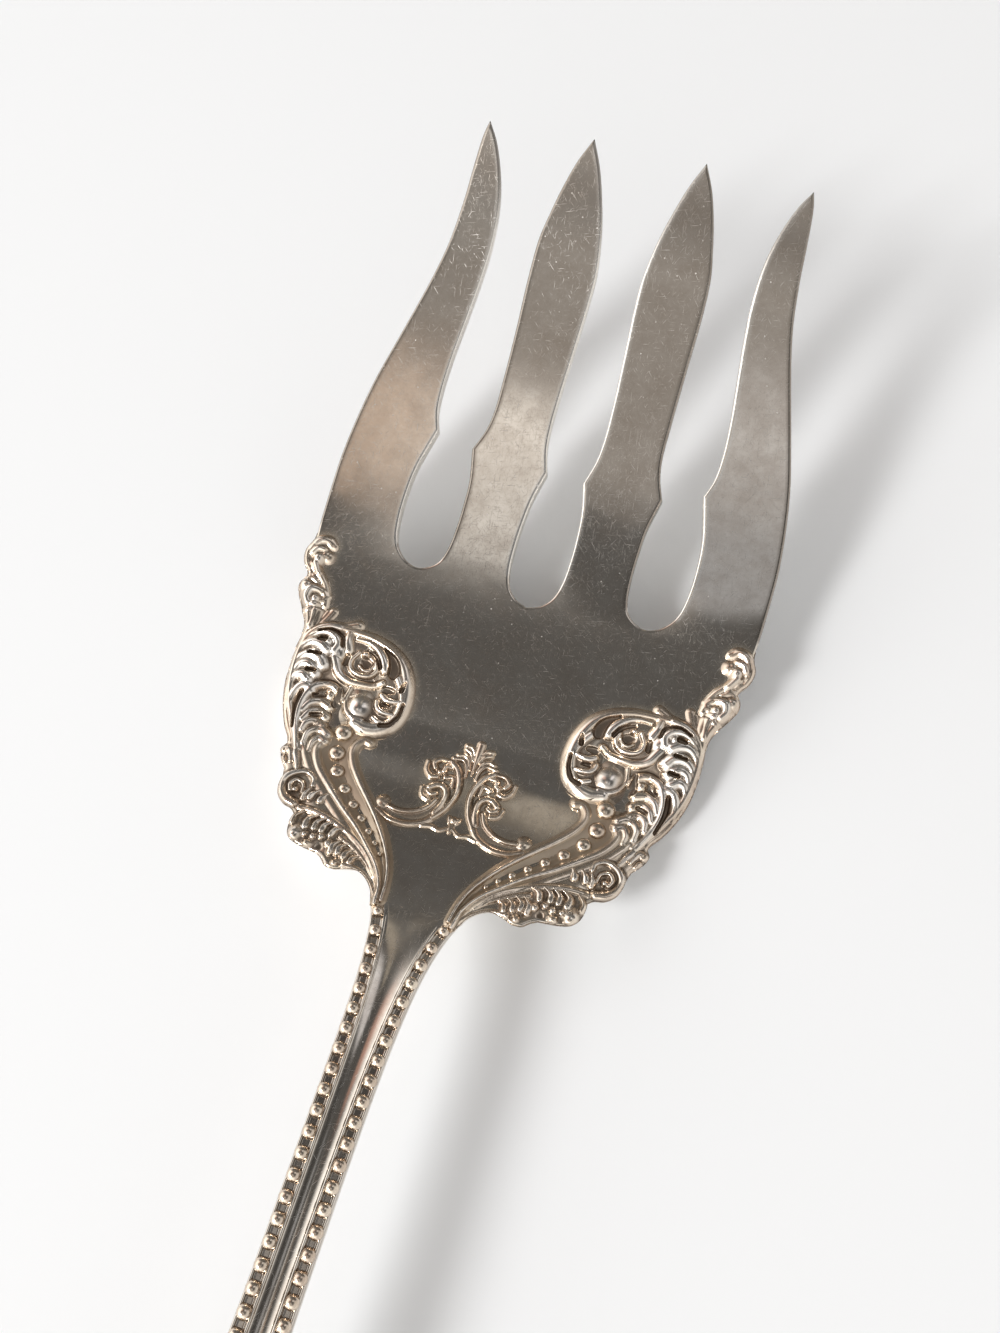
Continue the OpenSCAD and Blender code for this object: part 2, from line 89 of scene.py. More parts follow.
def spineHeight(y):  # upper face along the axis, over the level of the bowl's underside
    y = np.asarray(y, float)
    neckZ, crestZ = (fork["plateThick"] + fork[k] for k in ("neckRise", "crestRise"))
    level = -pitchSin / pitchCos  # steepness of the table
    rise = hermite(np.clip(1 + y / fork["crestAt"], 0, 1), crestZ, level, neckZ, -fork["neckSlope"], fork["crestAt"])
    back = fork["handleLen"] - fork["crestAt"]
    fall = hermite(np.clip((y + fork["handleLen"]) / back, 0, 1), endZ, fork["endSlope"] + level, crestZ, level, back)
    return np.select([y > 0, y > -fork["crestAt"]], [headHeight(y), rise], fall)


tineSet = {  # the slight twist and sag that use gave each tine, from the left
    "twist": (0.02, 0, -0.06, -0.1), "twistRun": 8,  # rise per mm across, and the length over which it grows
    "sag": (0, 0, 0.45, 0), "sagRun": 14, "sagEnd": 56, "sagFade": 22,
    "innerX": 7.1, "splitX": 14.5,  # middle of the inner tines, and of the gap beside them
    "outerY": [44, 52, 60, 70, 80, 90], "outerX": [23.4, 23.5, 22.7, 20.8, 19, 19.5],  # middle of the outer tines
}


def faceHeight(x, y):  # the bowl is very slightly dished across
    x, y = np.asarray(x, float), np.asarray(y, float)
    outer = np.interp(y, tineSet["outerY"], tineSet["outerX"])
    inner, split = tineSet["innerX"], tineSet["splitX"]
    which = np.digitize(x, (-split, 0, split))
    middle = np.choose(which, (-outer, -inner, inner, outer))
    past = y - fork["bowlLen"]
    twist = np.choose(which, tineSet["twist"]) * (x - middle) * smooth(past / tineSet["twistRun"])
    bent = smooth(past / tineSet["sagRun"]) * (1 - smooth((y - tineSet["sagEnd"]) / tineSet["sagFade"]))
    sag = np.choose(which, tineSet["sag"]) * bent
    across = (x / fork["dishHalf"]) ** 2 * smooth((y - fork["dishFrom"]) / fork["heelLen"])
    return spineHeight(y) + fork["dish"] * across + twist - sag


def laid(vectors):  # turned by the pitch
    return np.asarray(vectors, float) @ ((1, 0, 0), (0, pitchCos, pitchSin), (0, -pitchSin, pitchCos))


def toFrame(points):  # mm from the neck to metres in the shared frame
    return (laid(points) + (0, neckY, -heelLow)) / 1000


def pairs(flat):
    return np.array(flat, float).reshape(-1, 2)


def spline(points, step):  # centripetal curve through points, sampled about every step
    p = np.asarray(points, float)
    p = np.vstack([2 * p[0] - p[1], p, 2 * p[-1] - p[-2]])
    out = []
    for a, b, c, d in zip(p[:-3], p[1:-2], p[2:-1], p[3:]):
        t1 = max(np.linalg.norm(b - a), 1e-6) ** 0.5
        t2 = t1 + max(np.linalg.norm(c - b), 1e-6) ** 0.5
        t3 = t2 + max(np.linalg.norm(d - c), 1e-6) ** 0.5
        count = max(1, math.ceil(np.linalg.norm(c - b) / step))
        t = np.linspace(t1, t2, count, endpoint=False)[:, None]
        ab, bc, cd = a + (b - a) * t / t1, b + (c - b) * (t - t1) / (t2 - t1), c + (d - c) * (t - t2) / (t3 - t2)
        abc, bcd = ab + (bc - ab) * t / t2, bc + (cd - bc) * (t - t1) / (t3 - t1)
        out.append(abc + (bcd - abc) * (t - t1) / (t2 - t1))
    return np.vstack(out + [p[-2:-1]])


def nearest(points, line):  # distance from each point to a line of close samples, and the nearest sample
    tree = KDTree(len(line))
    for i, (x, y) in enumerate(line):
        tree.insert((x, y, 0), i)
    tree.balance()
    found = [tree.find((x, y, 0)) for x, y in points]
    return np.array([f[2] for f in found]), np.array([f[0][:2] for f in found])


def inside(points, loop):
    x, y = points[:, 0], points[:, 1]
    hit = np.zeros(len(points), bool)
    for (ax, ay), (bx, by) in zip(loop, np.roll(loop, -1, 0)):
        if ay != by:
            hit ^= ((ay > y) != (by > y)) & (x < (bx - ax) * (y - ay) / (by - ay) + ax)
    return hit


def leftward(loop):  # unit normals to the left of a closed loop
    along = np.roll(loop, -1, 0) - np.roll(loop, 1, 0)
    along /= np.maximum(np.linalg.norm(along, axis=1), 1e-9)[:, None]
    return np.c_[-along[:, 1], along[:, 0]]


def sheetGrid(loop, step, rows=(), clear=0.5):  # triangles over an outline, with rows of points near its edge
    close = spline(np.vstack([loop, loop[:1]]), 0.06)
    low, high = loop.min(0), loop.max(0)
    xs = np.arange(low[0], high[0], step)
    ys = np.arange(low[1], high[1], step * 0.866)  # near equal sides
    gx, gy = np.meshgrid(xs, ys)
    gx = gx + (np.arange(len(ys)) % 2)[:, None] * step / 2
    grid = np.c_[gx.ravel(), gy.ravel()]
    grid = grid[inside(grid, loop)]
    grid = grid[nearest(grid, close)[0] > max([clear * step] + [r + clear * step for r in rows])]
    parts = [loop]
    normal = leftward(loop)
    for row in rows:
        band = loop + normal * row
        band = band[inside(band, loop)]
        parts.append(band[nearest(band, close)[0] > row * 0.93])
    points = np.vstack(parts + [grid])
    count = len(loop)
    made = delaunay_2d_cdt([Vector(p) for p in points], [(i, (i + 1) % count) for i in range(count)], [], 1, 1e-7)
    place = {}
    for new, olds in enumerate(made[3]):  # the given points behind each new one
        for old in olds:
            place[old] = new
    ring = np.array([place[i] for i in range(count)])
    flat = np.array([v[:] for v in made[0]])
    return flat, np.array(made[2]), ring, close


def addPiece(name, points, faces, material, node, normals=None, marks=None):
    mesh = bpy.data.meshes.new(name)
    mesh.from_pydata(toFrame(points).tolist(), [], [tuple(int(i) for i in f) for f in faces])
    mesh.polygons.foreach_set("use_smooth", [True] * len(mesh.polygons))
    for key, values in (marks or {}).items():
        layer = mesh.attributes.new(key, "FLOAT", "POINT")
        layer.data.foreach_set("value", np.asarray(values, np.float32))
    mesh.materials.append(material)
    mesh.update()
    if normals is not None:
        mesh.normals_split_custom_set_from_vertices(laid(normals).tolist())
    piece = bpy.data.objects.new(name, mesh)
    bpy.context.scene.collection.objects.link(piece)
    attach(piece, "root")
    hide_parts(node)


# Materials

def linearRgb(hexColour):
    c = np.array([int(hexColour[i:i + 2], 16) / 255 for i in (1, 3, 5)])
    c = np.where(c <= 0.04045, c / 12.92, ((c + 0.055) / 1.055) ** 2.4)
    return (*c, 1.0)


def addNode(tree, kind, links=None, **settings):  # links: input name or number to a socket or a value
    made = tree.nodes.new(kind)
    for key, value in settings.items():
        setattr(made, key, value)
    for key, value in (links or {}).items():
        if isinstance(value, bpy.types.NodeSocket):
            tree.links.new(value, made.inputs[key])
        else:
            made.inputs[key].default_value = value
    return made


wear = {  # where a noise starts to show as a mark, and where the mark is full
    "tarnish": (0.36, 0.68), "speckSize": (0.11, 0.05), "speckShare": (0.5, 0.9),
}


def wornSilver(name, look):  # the marks hollow, crest and halo on a mesh steer its patina; on the head plate hollow and crest also carry painted shade and painted highlight along the tine edges
    made = bpy.data.materials.new(name)
    made.use_nodes = True
    tree = made.node_tree
    shader = tree.nodes["Principled BSDF"]
    shader.inputs["Metallic"].default_value = 1
    place = addNode(tree, "ShaderNodeTexCoord").outputs["Object"]
    mm = addNode(tree, "ShaderNodeVectorMath", {0: place, 1: (1000, 1000, 1000)}, operation="MULTIPLY").outputs[0]
    cloud = addNode(tree, "ShaderNodeTexNoise", {
        "Vector": mm, "Scale": 1 / look["cloudSize"], "Detail": 5, "Roughness": look["cloudGrain"]})
    shown, full = wear["tarnish"]
    tarnish = addNode(tree, "ShaderNodeMapRange", {
        "Value": cloud.outputs["Fac"], "From Min": shown, "From Max": full}).outputs[0]
    shown, full = look["scratchShare"]
    scratch = 0.0
    for angle, length in look["scratches"]:
        turned = addNode(tree, "ShaderNodeMapping", {
            "Vector": mm, "Rotation": (0, 0, math.radians(angle)),
            "Scale": (length, look["scratchWide"], length)}, vector_type="TEXTURE")
        lines = addNode(tree, "ShaderNodeTexNoise", {"Vector": turned.outputs[0], "Scale": 1, "Detail": 1.5})
        thin = addNode(tree, "ShaderNodeMapRange", {
            "Value": lines.outputs["Fac"], "From Min": shown, "From Max": full})
        scratch = addNode(tree, "ShaderNodeMath", {0: scratch, 1: thin.outputs[0]}, operation="MAXIMUM").outputs[0]
    cells = addNode(tree, "ShaderNodeTexVoronoi", {"Vector": mm, "Scale": 1 / look["speckApart"]})
    shown, full = wear["speckSize"]
    dots = addNode(tree, "ShaderNodeMapRange", {
        "Value": cells.outputs["Distance"], "From Min": shown, "From Max": full})
    some = addNode(tree, "ShaderNodeSeparateColor", {0: cells.outputs["Color"]})
    shown, full = wear["speckShare"]
    rare = addNode(tree, "ShaderNodeMapRange", {"Value": some.outputs[0], "From Min": shown, "From Max": full})
    speck = addNode(tree, "ShaderNodeMath", {0: dots.outputs[0], 1: rare.outputs[0]}, operation="MULTIPLY").outputs[0]
    mark = {key: addNode(tree, "ShaderNodeAttribute", attribute_name=key).outputs["Fac"]
            for key in ("hollow", "crest", "halo")}
    layers = {"tarnish": tarnish, "halo": mark["halo"], "crest": mark["crest"], "scratch": scratch, "speck": speck,
              "hollow": mark["hollow"]}
    colour, rough = linearRgb(look["clean"]), look["rough"]
    for key, layer in layers.items():
        tone, amount, roughen = look[key]
        share = addNode(tree, "ShaderNodeMath", {0: layer, 1: amount}, operation="MULTIPLY").outputs[0]
        colour = addNode(tree, "ShaderNodeMix", {0: share, 6: colour, 7: linearRgb(tone)}, data_type="RGBA").outputs[2]
        rough = addNode(tree, "ShaderNodeMath", {0: layer, 1: roughen, 2: rough}, operation="MULTIPLY_ADD").outputs[0]
    tree.links.new(colour, shader.inputs["Base Color"])
    tree.links.new(rough, shader.inputs["Roughness"])
    wave = addNode(tree, "ShaderNodeTexNoise", {"Vector": mm, "Scale": 1 / look["waveSize"], "Detail": 1})
    low = addNode(tree, "ShaderNodeMath", {0: wave.outputs["Fac"], 1: look["waveDeep"] / 1000}, operation="MULTIPLY")
    high = addNode(tree, "ShaderNodeMath", {0: scratch, 1: look["scratchDeep"] / 1000, 2: low.outputs[0]},
                   operation="MULTIPLY_ADD")
    bump = addNode(tree, "ShaderNodeBump", {"Height": high.outputs[0], "Distance": 1, "Strength": 1})
    tree.links.new(bump.outputs[0], shader.inputs["Normal"])
    return made


# rolled and polished sheet: dark mirror with grey-brown tarnish clouds, hair scratches and pale specks
sheetLook = {
    "clean": "#dcd4ca", "rough": 0.11,
    # on the head plate crest gives the painted highlight along the inner tine edges and the clean back, and hollow
    # gives patina, the darker tips and the painted shade along the outer tine edges
    "tarnish": ("#a8998a", 0.45, 0.05), "halo": ("#d8c8ac", 0.4, 0.12), "crest": ("#f6f2ec", 0.7, 0.08),
    "scratch": ("#fbf8f4", 0.4, 0.22), "speck": ("#f6f2ec", 0.7, 0.4), "hollow": ("#47382b", 0.65, 0.08),
    "cloudSize": 5, "cloudGrain": 0.76, "waveSize": 5, "waveDeep": 0.02,
    "scratches": [(12, 1.5), (58, 1.2), (97, 1.8), (141, 1.4)], "scratchShare": (0.66, 0.8),
    "scratchWide": 0.06, "scratchDeep": -0.002,  # real ones are nearer 0.03 mm wide; coarser here so that they show
    "speckApart": 1.0,
}
# cast relief: bright rubbed crests over warm grey, brown sulphide left in the hollows
castLook = {
    "clean": "#e6d8c6", "rough": 0.2,
    "tarnish": ("#b79f8d", 0.6, 0.05), "halo": ("#b9a893", 0.85, 0.2), "crest": ("#f3eee8", 0.7, -0.03),
    "scratch": ("#f4f0ea", 0.2, 0.1), "speck": ("#f6f2ec", 0.3, 0.2), "hollow": ("#4c3c2e", 0.7, 0.15),
    "cloudSize": 4, "cloudGrain": 0.62, "waveSize": 1.2, "waveDeep": 0.012,
    "scratches": [(30, 1.6), (120, 1.6)], "scratchShare": (0.66, 0.8),
    "scratchWide": 0.12, "scratchDeep": -0.001,
    "speckApart": 1.1,
}
plateSilver = wornSilver("wornSterlingSheet", sheetLook)
castSilver = wornSilver("castSterlingRelief", castLook)


def addPair(name, points, faces, node, normals=None, marks=None):  # a casting on the right and its mirror image
    flip = np.array((-1, 1, 1))
    addPiece("right." + name, points, faces, castSilver, "right_" + node, normals, marks)
    addPiece("left." + name, points * flip, [f[::-1] for f in faces], castSilver, "left_" + node,
             None if normals is None else normals * flip, marks)


# Head plate

headPlate = {
    "roll": 0.42, "lowRoll": 0.3,  # rounding of the upper and lower edges
    "step": 0.6, "lowStep": 1.2,
    "rows": (0.04, 0.1, 0.19, 0.3, 0.45, 0.8), "lowRows": (0.1, 0.3),  # rows of points along the edges
    # right edge from the neck round the tines to the middle gap; each run is one smooth curve
    "edge": [
        [5, 0, 5.4, .8, 6.4, 1.8, 7.6, 2.35, 8.8, 2.2, 10.2, 1.75],
        [10.2, 1.75, 11.2, 1.85, 12, 2.5, 12.7, 2.9],
        [12.7, 2.9, 13.6, 3, 15, 3.2, 16.2, 3.6, 16.9, 4.4, 17.2, 5.6, 17.2, 6.5],
        [17.2, 6.5, 17.8, 7, 18.9, 7.3, 19.9, 8.1, 20.4, 9.2, 20.6, 10.4, 20.9, 11.5],
        [20.9, 11.5, 21.6, 12.3, 22.2, 13.2, 22.4, 14, 22, 14.7],
        [22, 14.7, 22.3, 15.4, 23.2, 16.6, 24.3, 18.7, 25.1, 21, 25.5, 23.5, 25.6, 26, 25.5, 28],
        [25.5, 28, 25.6, 29.3, 26, 30.4, 26.7, 31.6, 27.5, 32.9, 28, 34, 27.9, 35, 27.4, 35.7],
        [27.4, 35.7, 27.6, 36.3, 28.3, 37.2, 28.7, 38.3, 28.7, 39.3, 28.3, 40.2, 28.15, 41.2],
        [28.15, 41.2, 28.3, 43, 28.45, 48, 28.4, 52, 27.9, 57, 27, 62, 25.6, 67, 24.2, 71.5, 22.8, 76,
         21.9, 79.5, 21.2, 84, 20.9, 87, 20.4, 90.5, 19.9, 91.9],
        [19.9, 91.9, 18.5, 90, 17.2, 87, 16.5, 84, 16.35, 80, 16.7, 76, 17.2, 72, 17.8, 67, 18, 63, 17.8, 60.3,
         17.1, 58.1],
        [17.1, 58.1, 18.4, 53, 18.7, 49.5, 18.6, 46, 18.1, 43.5, 17.3, 42.2, 16.1, 41.2, 14.6, 40.8, 13.3, 41.3,
         12.3, 42.2, 11.7, 44, 11.45, 47, 11.45, 50, 11.6, 53, 12.4, 57],
        [12.4, 57, 11.4, 59.6, 11, 62, 10.95, 66, 11, 72, 11.1, 78, 10.9, 82, 10.3, 84.6, 9.6, 87, 8.4, 90, 6.9, 92.4],
        [6.9, 92.4, 5.5, 90, 4.3, 87, 3.4, 84, 2.75, 80, 2.75, 77, 3, 72, 3.3, 66, 3.35, 62, 3.1, 59.3, 2.3, 56.4],
        [2.3, 56.4, 3.1, 53, 3.4, 50, 3.5, 47, 3.3, 43.5, 2.7, 41.5, 1.5, 40.2, 0, 39.6]],
}


def edgeCurve(step):
    runs = headPlate["edge"]
    return np.vstack([spline(pairs(run), step)[:-1] for run in runs] + [pairs(runs[-1][-2:])])


rightEdge = edgeCurve(0.35)
headLoop = np.vstack([rightEdge, (rightEdge * (-1, 1))[-2::-1]])  # runs counter-clockwise
neckRow = np.linspace(-fork["neckHalf"], fork["neckHalf"], 26)[1:-1]
headLoop = np.vstack([headLoop, np.c_[neckRow, np.zeros(len(neckRow))]])


def edgeRoll(distance, radius):  # how far a rounded edge has dropped
    inward = np.clip(1 - distance / radius, 0, 1)
    return radius * (1 - np.sqrt(np.clip(1 - inward ** 2, 0, 1)))


def sheetNormals(flat, away, near, radius, sign):
    e = 0.02  # step for the slopes
    dx = (faceHeight(flat[:, 0] + e, flat[:, 1]) - faceHeight(flat[:, 0] - e, flat[:, 1])) / (2 * e)
    dy = (faceHeight(flat[:, 0], flat[:, 1] + e) - faceHeight(flat[:, 0], flat[:, 1] - e)) / (2 * e)
    n = np.c_[-dx, -dy, np.ones(len(flat))] * sign
    n /= np.linalg.norm(n, axis=1)[:, None]
    out = near - flat
    out = np.c_[out / np.maximum(np.linalg.norm(out, axis=1), 1e-9)[:, None], np.zeros(len(flat))]
    lean = np.clip(1 - away / radius, 0, 1)[:, None]  # sine of the turn over the edge
    n = n * np.sqrt(1 - lean ** 2) + out * lean
    return n / np.maximum(np.linalg.norm(n, axis=1), 1e-9)[:, None]


def makeHead():
    radius, lowRadius = headPlate["roll"], headPlate["lowRoll"]
    flat, faces, ring, close = sheetGrid(headLoop, headPlate["step"], headPlate["rows"])
    low, lowFaces, lowRing, _ = sheetGrid(headLoop, headPlate["lowStep"], headPlate["lowRows"])
    neckLine = 0.02  # the neck row meets the handle and stays square
    close = close[close[:, 1] > neckLine]
    free = (headLoop[:, 1] > neckLine)[:, None]
    away, near = nearest(flat, close)
    points = np.c_[flat, faceHeight(flat[:, 0], flat[:, 1]) - edgeRoll(away, radius)]
    normals = sheetNormals(flat, away, near, radius, 1)
    outward = np.c_[-leftward(headLoop), np.zeros(len(headLoop))]
    normals[ring] = np.where(free, outward, normals[ring])
    lowAway, lowNear = nearest(low, close)
    thick = np.interp(low[:, 1], [fork["bowlLen"], fork["headLen"]], [fork["plateThick"], fork["tipThick"]])
    lowPoints = np.c_[low, faceHeight(low[:, 0], low[:, 1]) - thick + edgeRoll(lowAway, lowRadius)]
    lowNormals = sheetNormals(low, lowAway, lowNear, lowRadius, -1)
    lowNormals[lowRing] = np.where(free, outward, lowNormals[lowRing])
    shift = len(points)
    count = len(ring)
    steps = [(i, (i + 1) % count) for i in range(count)]
    walls = [(ring[i], lowRing[i] + shift, lowRing[j] + shift, ring[j]) for i, j in steps]
    allFaces = [tuple(f) for f in faces] + [tuple(f[::-1] + shift) for f in lowFaces] + walls
    return np.vstack([points, lowPoints]), allFaces, np.vstack([normals, lowNormals])


# Leaf borders

# each mark is a swelling stroke: path, half width at its tail and at its head, height
leafMarks = [
    ([22.8, 30.2, 21, 30.5, 19, 30.5, 16.4, 30.3, 13.9, 29.5, 12, 28.1, 10.9, 26.2, 10.4, 24, 10.5, 22, 11.2, 20.4,
      12.6, 19.5, 14, 19.2, 15.4, 19.4], .42, .78, 1.05),  # rim of the volute
    ([18.6, 29.6, 17.2, 29.6, 15.9, 29.2, 14.9, 28.4, 14.3, 27.5, 14.1, 26.7], .3, .55, 1),  # leaf along it
    ([10.7, 23.2, 11.1, 24.6, 11.7, 25.7, 12.1, 26.2], .3, .5, .95),  # fingers
    ([10.7, 23.6, 11.6, 23.3, 12.6, 23.2, 13.4, 23.6], .28, .42, .9),
    ([10.9, 21.8, 11.9, 21.6, 12.9, 21.7, 13.6, 22.2, 13.8, 22.8], .28, .36, .88),
    ([11.8, 20.5, 12.7, 20.4, 13.5, 20.7], .26, .32, .8),
    ([15.75, 22.3, 15.6, 21.7], 1.4, 1.35, 1.1),  # belly
    ([17.4, 23.4, 17.6, 22.1, 17.1, 20.8, 16, 20, 14.8, 19.9], .3, .4, .8),
    ([20.4, 26.6, 19.4, 24.9, 18, 24.2, 16.4, 24.2, 14.9, 24.5, 13.9, 25.1], .55, .45, .85),
    ([17.8, 28, 18.4, 26.9, 18.1, 25.8, 17, 25.3, 15.8, 25.5, 15.1, 26.3, 15.3, 27.2], .28, .36, .85),  # eye
    ([17.2, 26.4, 16.6, 26, 15.95, 26.15, 15.7, 26.7], .2, .32, .85),
    ([17, 27.9, 16.95, 27.9], .42, .42, .8),
    ([20.2, 27.6, 20.1, 27.3], .8, .8, .85),
    ([19.7, 30.2, 19.5, 29, 19.1, 27.9], .5, .55, .85),
    ([21.3, 30.8, 20.1, 30.9, 19.1, 31.3], .35, .65, .8),  # comma on the rim
    ([20.4, 14.3, 22.3, 17, 24.2, 20.4, 25, 24, 24.9, 27.5, 24.1, 29.3, 22.8, 30.2, 21, 30.5], .42, .5, 1),  # back
    ([22.3, 15.3, 23.7, 17.5, 24.7, 20, 25.1, 22.6], .75, .7, .8),
    ([25.2, 26.3, 24.4, 28.3, 22.9, 29.3, 21.4, 29.2, 20.5, 28.3, 20.7, 27.3], .42, .6, 1.15),  # feathers
    ([21.7, 28.2, 21.75, 28.2], .55, .55, 1.05),
    ([25.3, 25, 24.8, 26.9, 23.7, 27.8, 22.5, 27.7, 21.6, 27.2], .42, .72, 1.15),
    ([25.2, 23.8, 24.5, 25.6, 23.3, 26.2, 22.1, 25.9, 21.5, 25.2], .42, .76, 1.15),
    ([25, 22.6, 24.3, 24.5, 23.4, 24.9, 22.6, 24.5, 22, 23.9], .42, .7, 1.12),
    ([24.8, 21.5, 24.3, 23.1, 23.5, 23.4, 22.6, 22.9], .42, .64, 1.08),
    ([23.9, 18.8, 23.9, 20.8, 23.1, 22, 22.2, 22.2, 21.7, 21.7], .5, .62, 1.05),
    ([20.6, 14.2, 21.7, 16.4, 22.4, 18.8, 22.3, 20.8, 21.4, 22.5, 20, 23.1, 18.8, 22.7, 18.2, 21.9],
     .42, .55, 1.15),  # stem
    ([19.4, 21.9, 19.45, 21.9], .65, .65, 1.05),
    ([22, 19.2, 21.4, 20.3, 20.3, 20.9, 19.1, 20.6], .42, .68, 1.1),
    ([21.6, 18.1, 21, 19.2, 20.1, 19.7, 19.1, 19.2], .4, .64, 1.05),
    ([21.1, 16.8, 20.9, 17.8, 20.1, 18.4, 19, 18], .4, .62, 1),
    ([20.2, 15.2, 20.2, 16.6, 19.6, 17.4, 18.8, 17.6, 18, 17.1], .4, .6, .95),
    ([19.2, 14.6, 19.2, 15.8, 18.7, 16.5, 17.9, 16.2], .36, .54, .85),
]
carved = [  # pits between the leaves, down to the sheet
    ([14.9, 29.35, 13.8, 28.6, 13.1, 27.6, 12.9, 26.6], .22, .85, 1),
    ([12.3, 24.5, 13.2, 24.45], .45, .55, 1),
    ([12, 22.5, 13, 22.6], .22, .32, .9),
    ([16.9, 27.2, 16.3, 26.9], .68, .74, 1),
    ([16.9, 28.7, 15.5, 28, 14.7, 26.9], .26, .36, .8),
    ([19, 27.2, 19.05, 26.2], .4, .4, .8),
    ([18.5, 23, 18.5, 21], .36, .6, .9),
    ([20, 28.2, 20.4, 29.3, 22, 29.75, 23.4, 29.3], .3, .28, .8),
    ([22.3, 28.4, 23, 28.3], .5, .38, .9),
    ([22.3, 26.4, 23.6, 26.3], .38, .32, .9),
    ([22.2, 24.2, 23.2, 24.1], .4, .32, .9),
    ([10.5, 23.2, 10.65, 21.7, 11.4, 20.4, 12.4, 20], .3, .36, .9),
    ([20.2, 21.8, 21.2, 21.3], .44, .36, .9),
    ([19.7, 19.2, 20.7, 18.9], .38, .32, .9),
    ([22.3, 16.8, 22.9, 19.3, 22.8, 21.3], .26, .38, .9),
    ([11.1, 25.9, 11.3, 24.8], .26, .42, .7),
    ([12.7, 3.7, 12.75, 3.5], .5, .5, .9),
]
channelMarks = [
    ([17.9, 16.4, 18.4, 15.2, 17.4, 13.2, 15, 11, 12.5, 9, 10, 7.2, 8, 5.5, 6, 3.6, 4.7, 1.5, 4.3, -.5], .5, .25, .8),
    ([12.7, 17.7, 13.5, 17.8, 14.2, 17, 14.3, 16, 13.6, 14.5, 12, 12.6, 10, 10.6, 8, 8.5, 6, 6, 4.8, 4, 4.1, 2,
      3.8, 0], .45, .24, .7),
]
shellMarks = [
    ([5.2, 1.9, 7.6, 4.3, 10, 6.1, 12.6, 8, 15.2, 10, 17.6, 12, 19.2, 13.9, 20.2, 15.3], .35, .6, .4),  # smooth band
    ([5.6, 2.4, 7.4, 4.4, 9.8, 6, 12.2, 6.9, 14.6, 7.4, 17, 7.5], .24, .42, .5),  # veins
    ([5.8, 2.2, 7.4, 3.6, 9.2, 4.7, 11, 5.4], .22, .36, .45),
    ([4.75, -1, 5.2, .5, 6.4, 1.65, 7.8, 2.3, 9.1, 2.4], .34, .42, .5),
    ([19.4, 11.9, 20.1, 13.2, 20.5, 13.9], .35, .55, .75),  # end by the leaf
    ([20.6, 12.6, 21.3, 13.9, 22, 13.7], .3, .55, .8),
    ([21.3, 12.2, 21.6, 12.7], .35, .42, .6),
    ([16.7, 10.4, 16.9, 11.2, 18, 11.8, 19.4, 11.3, 20.2, 10.1, 19.9, 8.8, 19, 8, 17.8, 7.7],
     .35, .62, .95),  # C scroll
    ([17.5, 9.2, 17.8, 10.2, 18.7, 10.5, 19.2, 9.8, 18.9, 9.1], .26, .36, .85),
    ([18.4, 9.35, 18.4, 9.3], .42, .42, .95),
    ([14.6, 9.9, 15, 9.3, 15.1, 8.9], .18, .48, .75),
    ([15.7, 10, 16.2, 9.4, 16.4, 8.9], .18, .5, .8),
    ([16.8, 9.9, 17.1, 9.2, 17.1, 8.5], .22, .46, .8),
    ([11, 6.4, 11.9, 6, 12.1, 5.4], .16, .48, .8),  # middle shell
    ([12.3, 6.8, 13.2, 6.2, 13.3, 5.6], .16, .5, .85),
    ([13.3, 7, 14.2, 6.3, 14.2, 5.6], .16, .5, .85),
    ([14.3, 7.1, 15.3, 6.4, 15.2, 5.5], .18, .54, .9),
    ([12.9, 4.9, 12.95, 4.85], .46, .46, .8),
    ([13.8, 4.6, 13.85, 4.55], .46, .46, .8),
    ([11.9, 4.4, 11.95, 4.3], .5, .5, .75),
    ([14, 3.6, 14.2, 3.6], .52, .52, .7),
    ([14.8, 4.6, 14.85, 4.55], .4, .4, .75),
    ([15.9, 4.6, 16, 4.3], .95, .9, .85),
    ([16.2, 7.1, 16.9, 6.3, 16.9, 5.5], .22, .42, .75),
    ([8, 3.9, 8.7, 3.5, 8.8, 3], .16, .42, .65),  # shell by the neck
    ([8.9, 4.4, 9.6, 3.9, 9.7, 3.3], .16, .46, .7),
    ([9.7, 4.9, 10.5, 4.3, 10.5, 3.6], .16, .48, .8),
    ([10.6, 5.1, 11.3, 4.3, 11.3, 3.4], .16, .5, .8),
    ([9.2, 2.5, 9.3, 2.45], .46, .46, .65),
    ([10.3, 2.6, 10.35, 2.5], .48, .48, .7),
]
tineScrollMarks = [
    ([25.5, 26.6, 24.9, 28.6, 24.5, 30.5, 24.6, 31.6], .26, .46, .85),
    ([24, 32.6, 24.3, 33.8, 25.2, 34.4, 26.3, 34.2, 26.7, 33.2, 26.3, 32.4], .3, .38, .95),
    ([24.3, 33.2, 24.35, 33.2], .42, .42, .85),
    ([25.3, 33.2, 25.3, 33.15], .4, .4, .85),
    ([24.7, 32.4, 25.4, 32.4], .3, .34, .75),
    ([25.5, 31.8, 26.3, 31.1], .3, .36, .75),
    ([25.4, 28.6, 25.3, 30, 25.7, 31], .2, .3, .6),
    ([27.3, 34.4, 27.3, 34.45], .56, .56, .8),
    ([26.9, 33.3, 26.9, 33.2], .5, .5, .65),
    ([24, 33.8, 25, 35.4, 26.2, 36.6, 26.9, 37.5], .26, .34, .8),
    ([25.6, 35.3, 26.8, 35.9, 27.4, 35.7], .22, .34, .6),
    ([25.4, 40.3, 26.2, 40.9, 27.2, 40.7, 27.8, 40.1], .34, .38, .85),
    ([25.6, 38.7, 25.7, 38.7], .5, .5, .85),
    ([26.6, 38.2, 26.6, 38.15], .5, .5, .9),
    ([26.3, 39.5, 27.2, 39.4, 27.8, 38.7], .22, .3, .8),
    ([27.3, 36.4, 28.1, 37.4, 28.3, 38.6, 28, 39.7], .3, .36, .8),
    ([27.3, 36.9, 27.3, 36.95], .5, .5, .65),
    ([24.3, 29.6, 23.3, 30.8, 22.7, 32.1], .16, .36, .55),
    ([24.4, 29.9, 23.7, 30.9, 23.3, 31.9], .14, .26, .45),
]
